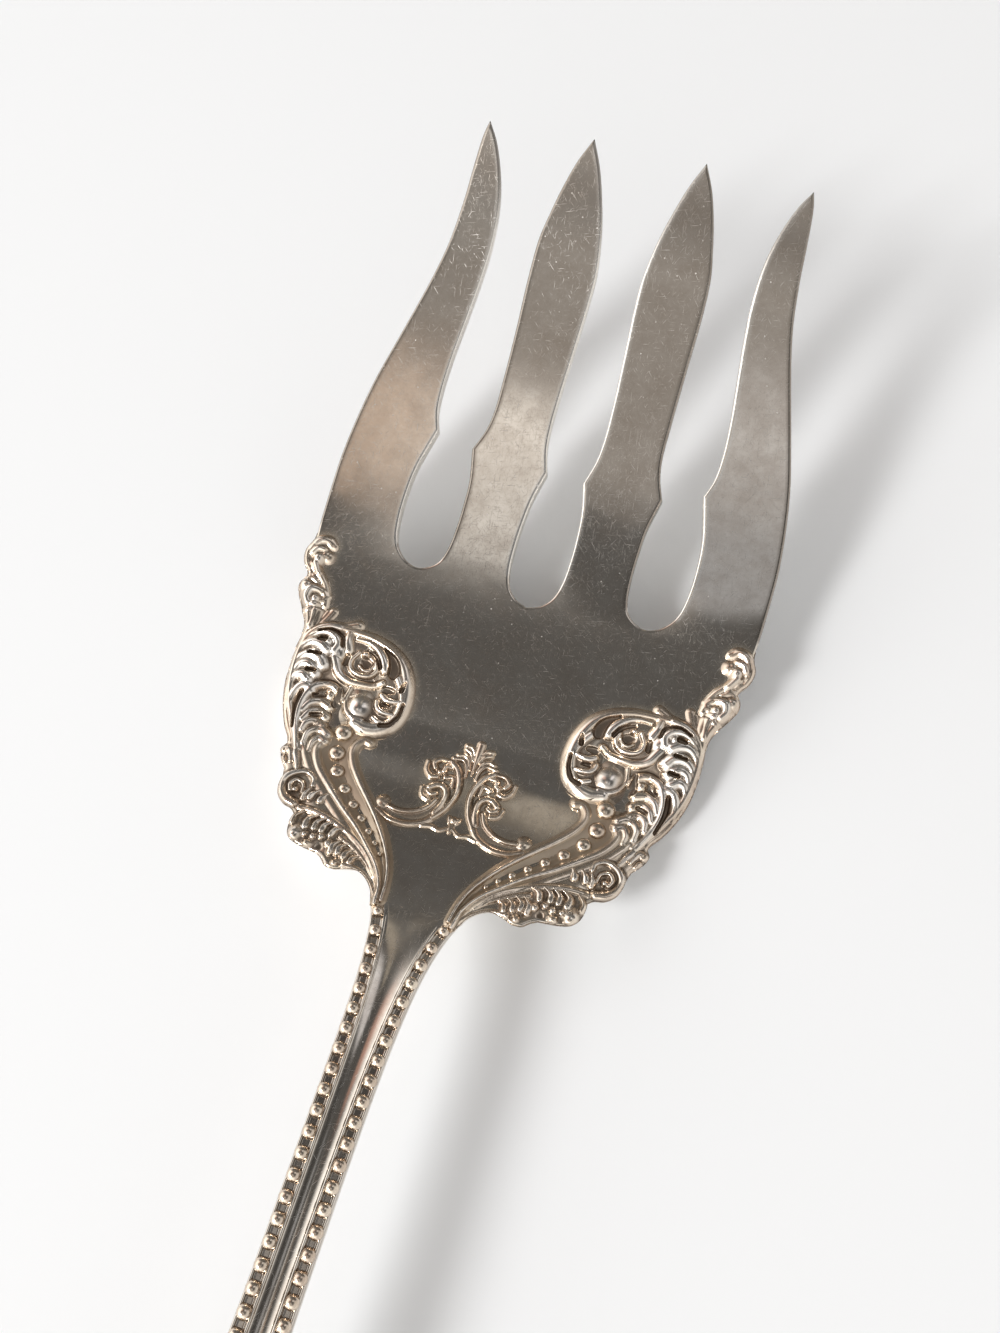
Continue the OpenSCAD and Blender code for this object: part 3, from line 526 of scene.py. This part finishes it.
sprayMarks = [
    ([1.9, 12, 3, 10.25, 5, 9.3, 7, 9.3, 8.8, 10], .3, .3, .55),
    ([2.9, 13.2, 3.6, 11.9, 4.9, 11, 6.4, 10.65, 7.7, 10.8], .24, .26, .5),
    ([8.5, 11.15, 8.5, 11.1], .62, .62, .6),
    ([2.4, 11.6, 2, 12.8, 2, 14.2, 2.6, 15, 3.4, 15, 4.1, 14.5], .32, .36, .7),
    ([4.1, 14.5, 4.2, 14, 3.6, 13.7, 3.2, 13.9], .3, .28, .65),
    ([4.9, 14.3, 4.6, 13.3, 3.8, 13], .22, .28, .5),
    ([2.4, 10.9, 1.5, 12.2, .95, 13.8, .85, 15.2, 1.2, 16.6, 1.8, 17.6, 2.6, 18.2], .25, .36, .75),
    ([1.7, 15.3, 1.9, 16.4, 2.8, 16.2], .2, .28, .5),
    ([2.4, 17.6, 3.1, 17.5, 3.2, 16.9], .24, .3, .65),
    ([3, 18.3, 4, 18.2, 4.6, 17.6, 4.3, 17], .22, .3, .65),
    ([5.4, 17.6, 5.2, 16.5, 4.5, 15.9, 3.8, 16], .22, .32, .6),
    ([3.6, 16.7, 3.6, 16.65], .32, .32, .65),
    ([.65, 17, .8, 18, 1.4, 18.9, 2.6, 18.8], .18, .26, .55),
    ([.5, 18, .9, 19.1, 1.6, 19.5, 2.2, 19.3], .18, .26, .55),
    ([.4, 19.2, .9, 20, 1.5, 20.3], .2, .28, .55),
    ([.4, 20, 1, 20.7, 1.6, 20.75], .18, .26, .5),
    ([.3, 10.2, 1.1, 9.7, 2.2, 9.9, 3.2, 9.7], .18, .24, .4),
    ([.45, 11, .6, 11.6], .16, .2, .4),
]
sprayMiddle = [
    ([0, 17.4, 0, 19.5, 0, 21.3], .12, .4, .5),
    ([0, 11.4, 0, 11.35], .34, .34, .5),
    ([0, 10.6, 0, 9.8], .3, .2, .45),
]
pads = [  # low swellings that carry the marks
    ([20.5, 28.6, 16.4, 28.4, 13.2, 26.8, 12, 23.6, 13, 21, 15.6, 20.6], 2.3, 2.6, .5),
    ([17.5, 25.4, 19.5, 25.8, 21.5, 26.6], 3, 3.2, .5),
    ([20.6, 15.4, 22, 19, 22.8, 22.5, 22.6, 26, 21.6, 28.6], 2, 3, .6),
    ([5, 2.6, 8, 4.6, 11, 6, 14.5, 8, 17, 10.5, 19.6, 13.2], .8, 2.2, .4),
    ([9, 3.2, 12, 4.4, 15.6, 5], 1.2, 1.8, .35),
    ([18.6, 9.6, 20.8, 13], 2, 1.4, .35),
    ([25, 29.6, 25.6, 32.6, 26.6, 34.6], .7, 1.6, .4),
    ([26.2, 36.4, 27, 38.6, 26.8, 40], .8, 1.5, .4),
]
sprayPads = [([1.6, 18.5, 2, 14, 4, 10.6, 8, 10.4], .8, 1, .12)]
stroke = {
    "step": 0.12, "sunk": 0.05,  # samples along a stroke, and how far under the sheet its flanks start
    "wideAt": 0.85, "highAt": 0.6, "tailHigh": 0.72,  # shares of its length where it is widest and highest
}


def raised(flat, marks, widen=1.0, spread=0.0, power=1.0, soft=0.08):  # height of the strokes over the sheet
    sunk, tailHigh = stroke["sunk"], stroke["tailHigh"]
    high = np.full(len(flat), -sunk)
    for path, tail, head, height in marks:
        line = spline(pairs(path), stroke["step"])
        t = np.linspace(0, 1, len(line))
        radius = (tail + (head - tail) * smooth(t / stroke["wideAt"])) * widen + spread
        crest = height * (tailHigh + (1 - tailHigh) * smooth(t / stroke["highAt"]))
        low, top = (line - radius[:, None]).min(0), (line + radius[:, None]).max(0)
        near = np.where(((flat > low) & (flat < top)).all(1))[0]
        if not len(near):
            continue
        gap = ((flat[near][:, None] - line[None]) ** 2).sum(2) / radius ** 2
        swell = (crest * np.clip(1 - gap, 0, None) ** power).max(1) - sunk
        old = high[near]
        blend = np.clip(soft - np.abs(old - swell), 0, None) ** 2 / (4 * soft)
        high[near] = np.maximum(old, swell) + np.where(np.minimum(old, swell) > -0.9 * sunk, blend, 0)
    return high


def scaled(marks, wide, high=1.0):
    return [(path, tail * wide, head * wide, height * high) for path, tail, head, height in marks]


borderMarks = leafMarks + channelMarks + scaled(tineScrollMarks, 1.5) + scaled(shellMarks, 0.85, 1.2)
pads += [(path, 2.5, 0.7, 0.4) for path, *_ in channelMarks]  # the channel is a trough between its rails
outerEdge = edgeCurve(0.05)
outerEdge = outerEdge[:np.argmax(outerEdge[:, 1] > 50)]  # below the tines
relief = {
    "ground": 1.2, "lines": 0.62,  # these scale the heights above
    "pits": 0.85, "pitFull": 0.75,  # share of the height that a pit takes away, and the mark's height where it does
    "roll": 0.45,  # rounding of the outer edge
}


def pitted(flat):
    return smooth(np.maximum(raised(flat, carved), 0) / relief["pitFull"])


def borderHeight(flat, widen=1.3, power=1.05):
    ground = np.maximum(raised(flat, pads, power=1.5, soft=0.3), 0) * relief["ground"]
    lines = raised(flat, borderMarks, widen, power=power, soft=0.14) * relief["lines"]
    dropped = edgeRoll(nearest(flat, outerEdge)[0], relief["roll"])
    return (ground + lines) * (1 - relief["pits"] * pitted(flat)) - dropped


def sprayHeight(flat, widen=1.6, power=1.1):
    folded = np.c_[np.abs(flat[:, 0]), flat[:, 1]]
    ground = raised(folded, sprayPads, power=1.5)
    return np.maximum(ground, 0) + raised(folded, sprayMarks + sprayMiddle, widen, power=power)


plateWear = {  # in mm, and the strength of each tone
    "halo": 1.0, "sprayHalo": 0.9, "haloFade": 0.6,  # reach of the metal left uncleaned around the castings
    "heelFrom": 19, "heelFade": 10, "heelTone": 0.45,  # the heel is polished least
    # the band along the tine edges, its fade, and the strength of the painted shade on its outer edges
    "tineFrom": 43, "rim": 0.85, "rimFade": 0.6, "edgeShadeTone": 0.8,
    "tipFrom": 80, "tipFade": 8, "tipTone": 0.9,
}
headPoints, headFaces, headNormals = makeHead()
folded = np.c_[np.abs(headPoints[:, 0]), headPoints[:, 1]]
around = np.maximum(raised(folded, borderMarks, spread=plateWear["halo"], power=1.6),
                    raised(folded, sprayMarks, spread=plateWear["sprayHalo"], power=1.6))
facing = headNormals[:, 2]
halo = smooth((around + stroke["sunk"]) / plateWear["haloFade"]) * (facing > 0)
along = headPoints[:, 1]
heel = smooth((plateWear["heelFrom"] - along) / plateWear["heelFade"]) * smooth((along + 1) / 6) * (facing > 0)
tineEdge = headLoop[headLoop[:, 1] > plateWear["tineFrom"]]
edgeAway, edgeNear = nearest(headPoints[:, :2], tineEdge)
leftEdge = np.where(edgeAway > 0.02, edgeNear[:, 0] - headPoints[:, 0], headNormals[:, 0]) < 0
rim = smooth((plateWear["rim"] - edgeAway) / plateWear["rimFade"]) * (facing > -0.2)
paintedEdgeLight = rim * (leftEdge == (headPoints[:, 0] > 0))  # painted highlight along the edge of each tine that faces the middle; the edges facing out get painted shade
tips = smooth((along - plateWear["tipFrom"]) / plateWear["tipFade"]) * (facing > -0.2)
# tarnish at the heel, darker tips, and painted shade along the outer tine edges
tarnishAndShade = np.maximum.reduce([plateWear["heelTone"] * heel, plateWear["edgeShadeTone"] * (rim - paintedEdgeLight),
                           plateWear["tipTone"] * tips])
sheenAndCleanBack = np.maximum(paintedEdgeLight, facing < -0.5)  # painted highlight along the inner tine edges, and the back rubbed clean
# hollow carries the heel's tarnish, the darker tips and the painted edge shade; crest carries the painted edge
# highlight and the clean back
addPiece("headPlate", headPoints, headFaces, plateSilver, "head_plate", headNormals,
         {"halo": halo, "hollow": tarnishAndShade, "crest": sheenAndCleanBack})
print("head plate:", len(headFaces), "faces")


castWear = {  # level where a mark starts, and the rise over which it grows
    "hollow": (0.17, 0.35), "pit": (0.3, 0.5), "crest": (0.5, 0.5), "ground": (0.4, 0.25),
    "groundClean": 0.85,  # share of its dark that a punched ground loses
    "envelope": (1.9, 0.3),  # strokes so widened and flattened give the level over a hollow
}


def grown(values, key):
    start, rise = castWear[key]
    return smooth((values - start) / rise)


def reliefPatch(loop, heightOf, step=0.12, sink=0.6, matte=0.0):  # a closed casting, seated in the sheet
    flat, faces, ring, _ = sheetGrid(loop, step)
    high = heightOf(flat)
    surface = faceHeight(flat[:, 0], flat[:, 1])
    e = 0.05  # step for the slopes

    def total(q):
        return heightOf(q) + faceHeight(q[:, 0], q[:, 1])
    dx = (total(flat + (e, 0)) - total(flat - (e, 0))) / (2 * e)
    dy = (total(flat + (0, e)) - total(flat - (0, e))) / (2 * e)
    normals = np.c_[-dx, -dy, np.ones(len(flat))]
    normals /= np.linalg.norm(normals, axis=1)[:, None]
    points = np.c_[flat, surface + high]
    hollow = grown(heightOf(flat, *castWear["envelope"]) - high, "hollow")  # depth under the strokes around
    if heightOf is borderHeight:
        hollow = np.maximum(hollow, grown(pitted(flat), "pit"))
    crest = grown(high, "crest")
    side = np.c_[-leftward(loop), np.zeros(len(loop))]
    rim = points[ring]
    foot = np.c_[loop, faceHeight(loop[:, 0], loop[:, 1]) - sink]
    low, lowFaces, _, _ = sheetGrid(loop, 0.9)
    lowPoints = np.c_[low, faceHeight(low[:, 0], low[:, 1]) - sink]
    a, b, c = len(points), len(points) + len(rim), len(points) + 2 * len(rim)
    count = len(rim)
    walls = [(a + i, b + i, b + (i + 1) % count, a + (i + 1) % count) for i in range(count)]
    allFaces = [tuple(f) for f in faces] + walls + [tuple(f[::-1] + c) for f in lowFaces]
    allNormals = np.vstack([normals, side, side, np.tile((0, 0, -1.0), (len(low), 1))])
    rest = np.zeros(2 * count + len(low))
    ground = matte * (1 - grown(high, "ground"))  # punched ground, paler and less dark in its hollows
    hollow = hollow * (1 - castWear["groundClean"] * ground)
    patina = {"hollow": np.r_[hollow, rest], "crest": np.r_[crest, rest], "halo": np.r_[ground, rest]}
    return np.vstack([points, rim, foot, lowPoints]), allFaces, allNormals, patina


def edgeBetween(fromY, toY):  # the scalloped edge between two heights, just outside the sheet
    line = edgeCurve(0.14)
    line = line[:np.argmax(line[:, 1] > 45)]  # below the tines
    along = np.gradient(line, axis=0)
    along /= np.linalg.norm(along, axis=1)[:, None]
    line = line + np.c_[along[:, 1], -along[:, 0]] * 0.06
    start, stop = (np.argmin(np.abs(line[:, 1] - y)) for y in (fromY, toY))
    return line[start:stop + 1]


borders = {
    "channelInner": [4.7, -.9, 3.2, -.9, 3.5, 2.1, 4.2, 4.3, 5.4, 6.4, 7.4, 9, 9.4, 11.1, 11.4, 13, 12.9, 14.8,
                     13.5, 16, 13.2, 16.9, 12.5, 17, 11.9, 17.6, 12.2, 18.4, 13.2, 18.7, 14.2, 18.5, 14.6, 18.9],
    "channelTop": [14.6, 18.9, 15.4, 19.35, 16.4, 19.4, 17.1, 19.1, 17.7, 18.3],
    "channelOuter": [17.7, 18.3, 18.3, 17.1, 18.8, 16.1, 19, 15, 18.6, 14],
    "channelLower": [18.6, 14, 17.8, 12.9, 15.4, 10.6, 12.9, 8.6, 10.4, 6.8, 8.4, 5.1, 6.4, 3.2, 5.1, 1.3, 4.7, -.9],
    "shellTop": [22.05, 14.75, 21, 14.75, 20, 14.6, 19.2, 14.2, 18.6, 14],
    "volute": [14.6, 18.9, 13.8, 18.5, 12.6, 18.3, 10.9, 19, 9.5, 20.8, 9, 23.5, 9.3, 26.6, 10.3, 29, 12.3, 30.8,
               15, 31.6, 17.4, 31.6, 18.6, 32.2, 19.6, 32.1, 20.6, 31.4, 22.4, 31.2, 24, 30.3, 25.5, 28.3],
    "tineInner": [25.5, 28.3, 24, 30.3, 22.4, 31.2, 22, 32.1, 22.4, 32.9, 23.3, 33, 23.6, 34, 24.6, 36, 25.4, 37.2,
                  24.7, 38.4, 24.8, 40, 25.4, 41.3, 26.6, 41.7, 28.2, 41.6],
}


def cut(key, back=False):
    line = spline(pairs(borders[key]), 0.14)
    return line[::-1] if back else line


def closedLoop(*runs):
    loop = np.vstack(runs)
    keep = np.linalg.norm(loop - np.roll(loop, 1, 0), axis=1) > 0.05
    loop = loop[keep]
    area = np.sum(loop[:, 0] * np.roll(loop[:, 1], -1) - np.roll(loop[:, 0], -1) * loop[:, 1])
    return loop if area > 0 else loop[::-1]


zones = {
    "bead_channel": closedLoop(cut("channelInner"), cut("channelTop"), cut("channelOuter"), cut("channelLower")),
    "edge_shell": closedLoop(edgeBetween(0, 14.75), cut("shellTop"), cut("channelLower")),
    "scroll_leaf": closedLoop(cut("volute"), edgeBetween(14.75, 28.3)[::-1], cut("shellTop"), cut("channelOuter", True),
                              cut("channelTop", True)),
    "tine_scroll": closedLoop(cut("tineInner"), edgeBetween(28.3, 41.6)[::-1]),
}
for zone, loop in zones.items():
    points, faces, normals, patina = reliefPatch(loop, borderHeight, matte=1.0 if zone == "bead_channel" else 0.0)
    addPair(zone, points, faces, zone, normals, patina)
    print(zone + ":", len(faces), "faces on each side")

sprayOutline = [0, 9.1, 2, 9, 4, 8.7, 6, 8.6, 8, 8.9, 9.5, 10, 9.7, 11.4, 8.8, 12.2, 7.4, 11.7, 5.4, 12, 5.6, 13.4,
                5.3, 15, 6, 16.4, 6, 17.9, 4.8, 18.9, 3.2, 19.6, 2.3, 21.2, 1.2, 22.5, 0, 22.8]
half = spline(pairs(sprayOutline), 0.14)
sprayLoop = closedLoop(half, (half * (-1, 1))[::-1])
points, faces, normals, patina = reliefPatch(sprayLoop, sprayHeight, sink=0.4)
addPiece("leafSpray", points, faces, castSilver, "leaf_spray", normals, patina)
print("spray:", len(faces), "faces")

# Beads


def beadMesh(radius, high, around=14, up=5):
    points, faces = [], []
    for i in range(up):
        a = math.pi / 2 * i / up
        for k in range(around):
            b = 2 * math.pi * k / around
            points.append((radius * math.cos(a) * math.cos(b), radius * math.cos(a) * math.sin(b), high * math.sin(a)))
    points.append((0, 0, high))
    for i in range(up - 1):
        for k in range(around):
            n = (k + 1) % around
            faces.append((i * around + k, i * around + n, (i + 1) * around + n, (i + 1) * around + k))
    crown = (up - 1) * around
    faces += [(crown + k, crown + (k + 1) % around, up * around) for k in range(around)]
    faces.append(tuple(range(around - 1, -1, -1)))
    return np.array(points), faces


def seatBeads(spots):  # spots: x, y, lift, radius, height
    points, faces = [], []
    for x, y, lift, radius, high in spots:
        p, f = beadMesh(radius, high)
        slope = float(spineHeight(y + 0.05) - spineHeight(y - 0.05)) / 0.1
        turn = np.array(Matrix.Rotation(math.atan(slope), 3, "X"))
        start = sum(len(q) for q in points)
        points.append(p @ turn.T + (x, y, float(faceHeight(x, y)) + lift))
        faces += [tuple(i + start for i in one) for one in f]
    return np.vstack(points), faces


grains = {
    "spots": [16.25, 17.9, .95, 15.95, 15.2, .86, 14.98, 13, .75, 13.2, 11.15, .63, 11.45, 9.6, .53, 9.86, 8.25, .45,
              8.44, 7, .39, 7.2, 5.9, .31, 6.15, 4.85, .25],
    "lift": 0.05, "swell": 1.25, "high": 0.8, "foot": 0.1,  # swell and foot: a grain's foot is hidden in the trough
}
spots = [(x, y, grains["lift"], r * grains["swell"], r * grains["high"] + grains["foot"])
         for x, y, r in np.array(grains["spots"]).reshape(-1, 3)]
addPair("channelBeads", *seatBeads(spots), "channel_beads")
print("channel beads:", len(spots), "a side")

# Handle

handle = {
    "stemHalf": 2.68, "endHalf": 7.5, "neckFade": 5.3, "widenAt": 35.0,
    "thick": 3.0, "thinOver": 12, "stations": 300,  # thinOver: the end thins to its edge over this length
    "backSteps": (0.3, 0.6, 0.85), "panelSteps": (0.9, 0.75, 0.55, 0.35, 0.15),
    "panelSink": 0.06, "panelHollow": 0.26, "panelRun": 7, "panelDark": 0.2,
    "channel": (0.42, 1.32), "channelFloor": -0.22, "channelDark": 0.6,  # channel: its distances from the edge
    "rimRun": 3,  # the rims rise out of the neck over this length
    "beadRadius": 0.76, "beadHigh": 1.12, "beadPitch": 1.95, "beadStart": 1.5, "beadIn": 0.8,
}
roundAt = fork["handleLen"] - handle["endHalf"]
railLen = roundAt + handle["endHalf"] * math.pi / 2


def handleHalf(d):
    slim = handle["stemHalf"]
    return (slim + (fork["neckHalf"] - slim) * np.exp(-np.asarray(d, float) / handle["neckFade"])
            + (handle["endHalf"] - slim) * smooth((d - handle["widenAt"]) / (roundAt - handle["widenAt"])))


def handleRail(d):  # edge point and inward direction at a distance along the edge line
    if d <= roundAt:
        p = np.array((float(handleHalf(d)), -d))
        q = np.array((float(handleHalf(d + 0.05)), -d - 0.05))
    else:
        a, b = (d - roundAt) / handle["endHalf"], (d - roundAt) / handle["endHalf"] + 0.01
        wide = float(handleHalf(roundAt))
        p = np.array((wide * math.cos(a), -roundAt - handle["endHalf"] * math.sin(a)))
        q = np.array((wide * math.cos(b), -roundAt - handle["endHalf"] * math.sin(b)))
    t = (q - p) / np.linalg.norm(q - p)
    return p, np.array((t[1], -t[0]))


# cross-section from the edge inwards: distance from the edge and height over the upper face
handleSection = [(0.5, -2), (0.16, -1.75), (0.02, -1.2), (0, -.7), (0.05, -.25), (0.14, -.02), (0.24, .05), (0.34, 0),
                 (0.42, -.14), (0.52, -.22), (0.86, -.24), (1.2, -.22), (1.3, -.12), (1.4, .06), (1.52, .16),
                 (1.64, .1), (1.76, -.06)]
panelIn = handleSection[-1][0]


def makeHandle():
    runs = np.linspace(0, 1, handle["stations"]) ** 1.15 * railLen
    section = spline(np.array(handleSection), 0.06)
    edge = fork["edgeThick"]
    rings = []
    for d in runs:
        p, n = handleRail(float(d))
        if d < 0.01:
            n = np.array((-1.0, 0))
        strength = float(smooth(d / handle["rimRun"]))
        sink, hollow = handle["panelSink"] * strength, handle["panelHollow"] * float(smooth(d / handle["panelRun"]))
        spine = max(p[1], -fork["handleLen"] + 2 * panelIn)
        deep = edge + (handle["thick"] - edge) * min(1, (spine + fork["handleLen"]) / handle["thinOver"])
        ring = [(0, spine, float(spineHeight(spine)) - deep)]
        under = p + n * section[0][0]
        for f in handle["backSteps"]:  # rounded back
            x, y = under[0] * f, spine + (under[1] - spine) * f
            ring.append((max(x, 0), y, float(spineHeight(y)) - edge - (deep - edge) * math.sqrt(1 - f * f)))
        for s, high in section:
            q = p + n * s
            top = high if high < -0.3 else high * strength
            ring.append((max(q[0], 0), q[1], float(spineHeight(q[1])) + top))
        inner = p + n * panelIn
        for f in (*handle["panelSteps"], 0):  # hollow of the middle panel
            x, y = inner[0] * f, spine + (inner[1] - spine) * f
            ring.append((max(x, 0), y, float(spineHeight(y)) - sink - hollow * (1 - f * f)))
        rings.append(ring)
    rings = np.array(rings)
    count, size = rings.shape[:2]
    both = np.concatenate([rings, rings[:, -2:0:-1] * (-1, 1, 1)], axis=1)
    m = both.shape[1]
    faces = [(i * m + k, i * m + (k + 1) % m, (i + 1) * m + (k + 1) % m, (i + 1) * m + k)
             for i in range(count - 1) for k in range(m)]
    cap = count * m  # the hidden end at the neck has its own points, so it doesn't bend the shading
    faces.append(tuple(range(cap + m - 1, cap - 1, -1)))
    dark = np.zeros((count, size))
    last = size - len(handle["panelSteps"]) - 1
    start, stop = handle["channel"]
    sunk = (section[:, 0] > start) & (section[:, 0] < stop)
    dark[:, last - len(section):last] = handle["channelDark"] * sunk[None]
    dark[:, last:] = handle["panelDark"]
    dark *= smooth(runs / handle["rimRun"])[:, None]
    dark = np.concatenate([dark, dark[:, -2:0:-1]], axis=1).ravel()
    return np.vstack([both.reshape(-1, 3), both[0]]), [f[::-1] for f in faces], {"hollow": np.r_[dark, np.zeros(m)]}


points, faces, patina = makeHandle()
addPiece("handleStem", points, faces, plateSilver, "handle_stem", marks=patina)
print("handle:", len(faces), "faces")

spots = []
d = handle["beadStart"]
while d < railLen - 0.4 * handle["beadPitch"]:
    p, n = handleRail(d)
    q = p + n * handle["beadIn"]
    size = handle["beadRadius"] * float(smooth(0.55 + d / 14) * 0.5 + 0.5)  # smaller by the neck
    lift = handle["channelFloor"] * float(smooth(d / handle["rimRun"]))
    spots.append((q[0], q[1], lift, size, size * handle["beadHigh"]))
    d += handle["beadPitch"]
addPair("handleBeads", *seatBeads(spots), "handle_beads")
print("handle beads:", len(spots), "a side")

# Stage

cameraSetup = {"azimuth": 17.441, "elevation": 63.545, "roll": 0.121, "lens": 32.378, "place": (18.6, -7.8, 134.1)}
a, e, r = (math.radians(cameraSetup[k]) for k in ("azimuth", "elevation", "roll"))
back = Vector((math.sin(a) * math.cos(e), -math.cos(a) * math.cos(e), math.sin(e)))
right = Vector((math.cos(a), math.sin(a), 0))
up = back.cross(right)
imageRight = right * math.cos(r) + up * math.sin(r)
imageUp = up * math.cos(r) - right * math.sin(r)
lens = bpy.data.cameras.new("camera")
lens.sensor_width = 36
lens.lens = cameraSetup["lens"]
lens.clip_start = 0.005
camera = bpy.data.objects.new("camera", lens)
bpy.context.scene.collection.objects.link(camera)
turn = Matrix((imageRight, imageUp, back)).transposed().to_4x4()
camera.matrix_world = Matrix.Translation(Vector(cameraSetup["place"]) / 1000) @ turn
bpy.context.scene.camera = camera

floorMesh = bpy.data.meshes.new("floor")
reach = 2  # metres from the middle
corners = [(-reach, -reach, 0), (reach, -reach, 0), (reach, reach, 0), (-reach, reach, 0)]
floorMesh.from_pydata(corners, [], [(0, 1, 2, 3)])
floor = bpy.data.objects.new("floor", floorMesh)
bpy.context.scene.collection.objects.link(floor)
paper = bpy.data.materials.new("whitePaper")  # matt white, so that only the shadow shows on it
paper.use_nodes = True
matt = paper.node_tree.nodes["Principled BSDF"].inputs
matt["Base Color"].default_value = linearRgb("#f2f3f4")
matt["Roughness"].default_value = 0.9
floorMesh.materials.append(paper)

# room: bright low walls and a dark ceiling, with pale patches that the silver mirrors
room = {
    "walls": [  # axis, the shares of it where the light starts to change and has changed, light before and after
        (2, 0.5, 0.85, 1.85, 0.125),  # from the walls to the ceiling
        (1, 0.44, 0.78, 1, 0.085),  # dark beyond the tines
        (0, 0.1, 0.75, 1, 0.45),  # dimmer on the right
    ],
    "patches": [  # middle and half widths as shares of +x and +y, colour, brightness
        (-0.3, -0.215, 0.11, 0.185, "#ffe0c5", 0.54),  # left tine
        (-0.155, -0.18, 0.1, 0.21, "#fffdfa", 0.82),  # second tine
        (0.19, -0.19, 0.14, 0.33, "#f4f8ff", 0.38),  # right tine
        (0.02, -0.42, 0.42, 0.3, "#faf2ea", 0.27),  # broad, in all tines
        (0.3, 0.5, 0.24, 0.24, "#fbfbff", 0.85),  # panel of the handle
        (-0.5, 0.34, 0.22, 0.28, "#e3ab94", 0.6),  # pink streak in the handle
        (-0.04, 0.68, 0.1, 0.17, "#fff2dc", 0.4),  # heel, right of the spray
    ],
    "patchCore": 0.52,  # share of a patch's half width where it is full
    "tint": (1, 0.992, 0.975), "backdrop": (0.9, 0.9, 0.89, 1),  # backdrop: what the camera sees past the floor
}
world = bpy.data.worlds.new("room")
bpy.context.scene.world = world
world.use_nodes = True
tree = world.node_tree
way = addNode(tree, "ShaderNodeTexCoord").outputs["Generated"]
parts = addNode(tree, "ShaderNodeSeparateXYZ", {0: way})
light = 1.0
for axis, start, stop, before, after in room["walls"]:
    wall = addNode(tree, "ShaderNodeMapRange", {
        "Value": parts.outputs[axis], "From Min": start, "From Max": stop, "To Min": before, "To Max": after},
        interpolation_type="SMOOTHSTEP")
    light = addNode(tree, "ShaderNodeMath", {0: light, 1: wall.outputs[0]}, operation="MULTIPLY").outputs[0]
light = addNode(tree, "ShaderNodeVectorMath", {0: light, 1: room["tint"]}, operation="MULTIPLY").outputs[0]
for x, y, wide, deep, tone, strength in room["patches"]:
    shift = addNode(tree, "ShaderNodeVectorMath", {0: way, 1: (1 / wide, 1 / deep, 0), 2: (-x / wide, -y / deep, 0)},
                    operation="MULTIPLY_ADD").outputs[0]
    away = addNode(tree, "ShaderNodeVectorMath", {0: shift}, operation="LENGTH").outputs["Value"]
    spot = addNode(tree, "ShaderNodeMapRange", {"Value": away, "From Min": 1, "From Max": room["patchCore"]},
                   interpolation_type="SMOOTHSTEP").outputs[0]
    tint = [c * strength for c in linearRgb(tone)[:3]]
    light = addNode(tree, "ShaderNodeVectorMath", {0: spot, 1: tint, 2: light}, operation="MULTIPLY_ADD").outputs[0]
seen = addNode(tree, "ShaderNodeLightPath").outputs["Is Camera Ray"]
light = addNode(tree, "ShaderNodeMix", {0: seen, 6: light, 7: room["backdrop"]}, data_type="RGBA").outputs[2]
tree.links.new(light, tree.nodes["Background"].inputs["Color"])

window = {"towards": (-0.88, -1.03, 0.83), "distance": 1.8, "size": 0.38, "power": 23}  # metres and watts
bowlMiddle = (0, 30, 4)
lamp = bpy.data.lights.new("windowLight", "AREA")
lamp.shape = "RECTANGLE"
lamp.size = lamp.size_y = window["size"]
lamp.energy = window["power"]
windowLight = bpy.data.objects.new("windowLight", lamp)
bpy.context.scene.collection.objects.link(windowLight)
towards = Vector(window["towards"]).normalized()
windowLight.location = Vector(toFrame(bowlMiddle)) + towards * window["distance"]
windowLight.rotation_mode = "QUATERNION"
windowLight.rotation_quaternion = (-towards).to_track_quat("-Z", "Y")

bpy.context.scene.view_settings.view_transform = "Standard"
print("stage set")
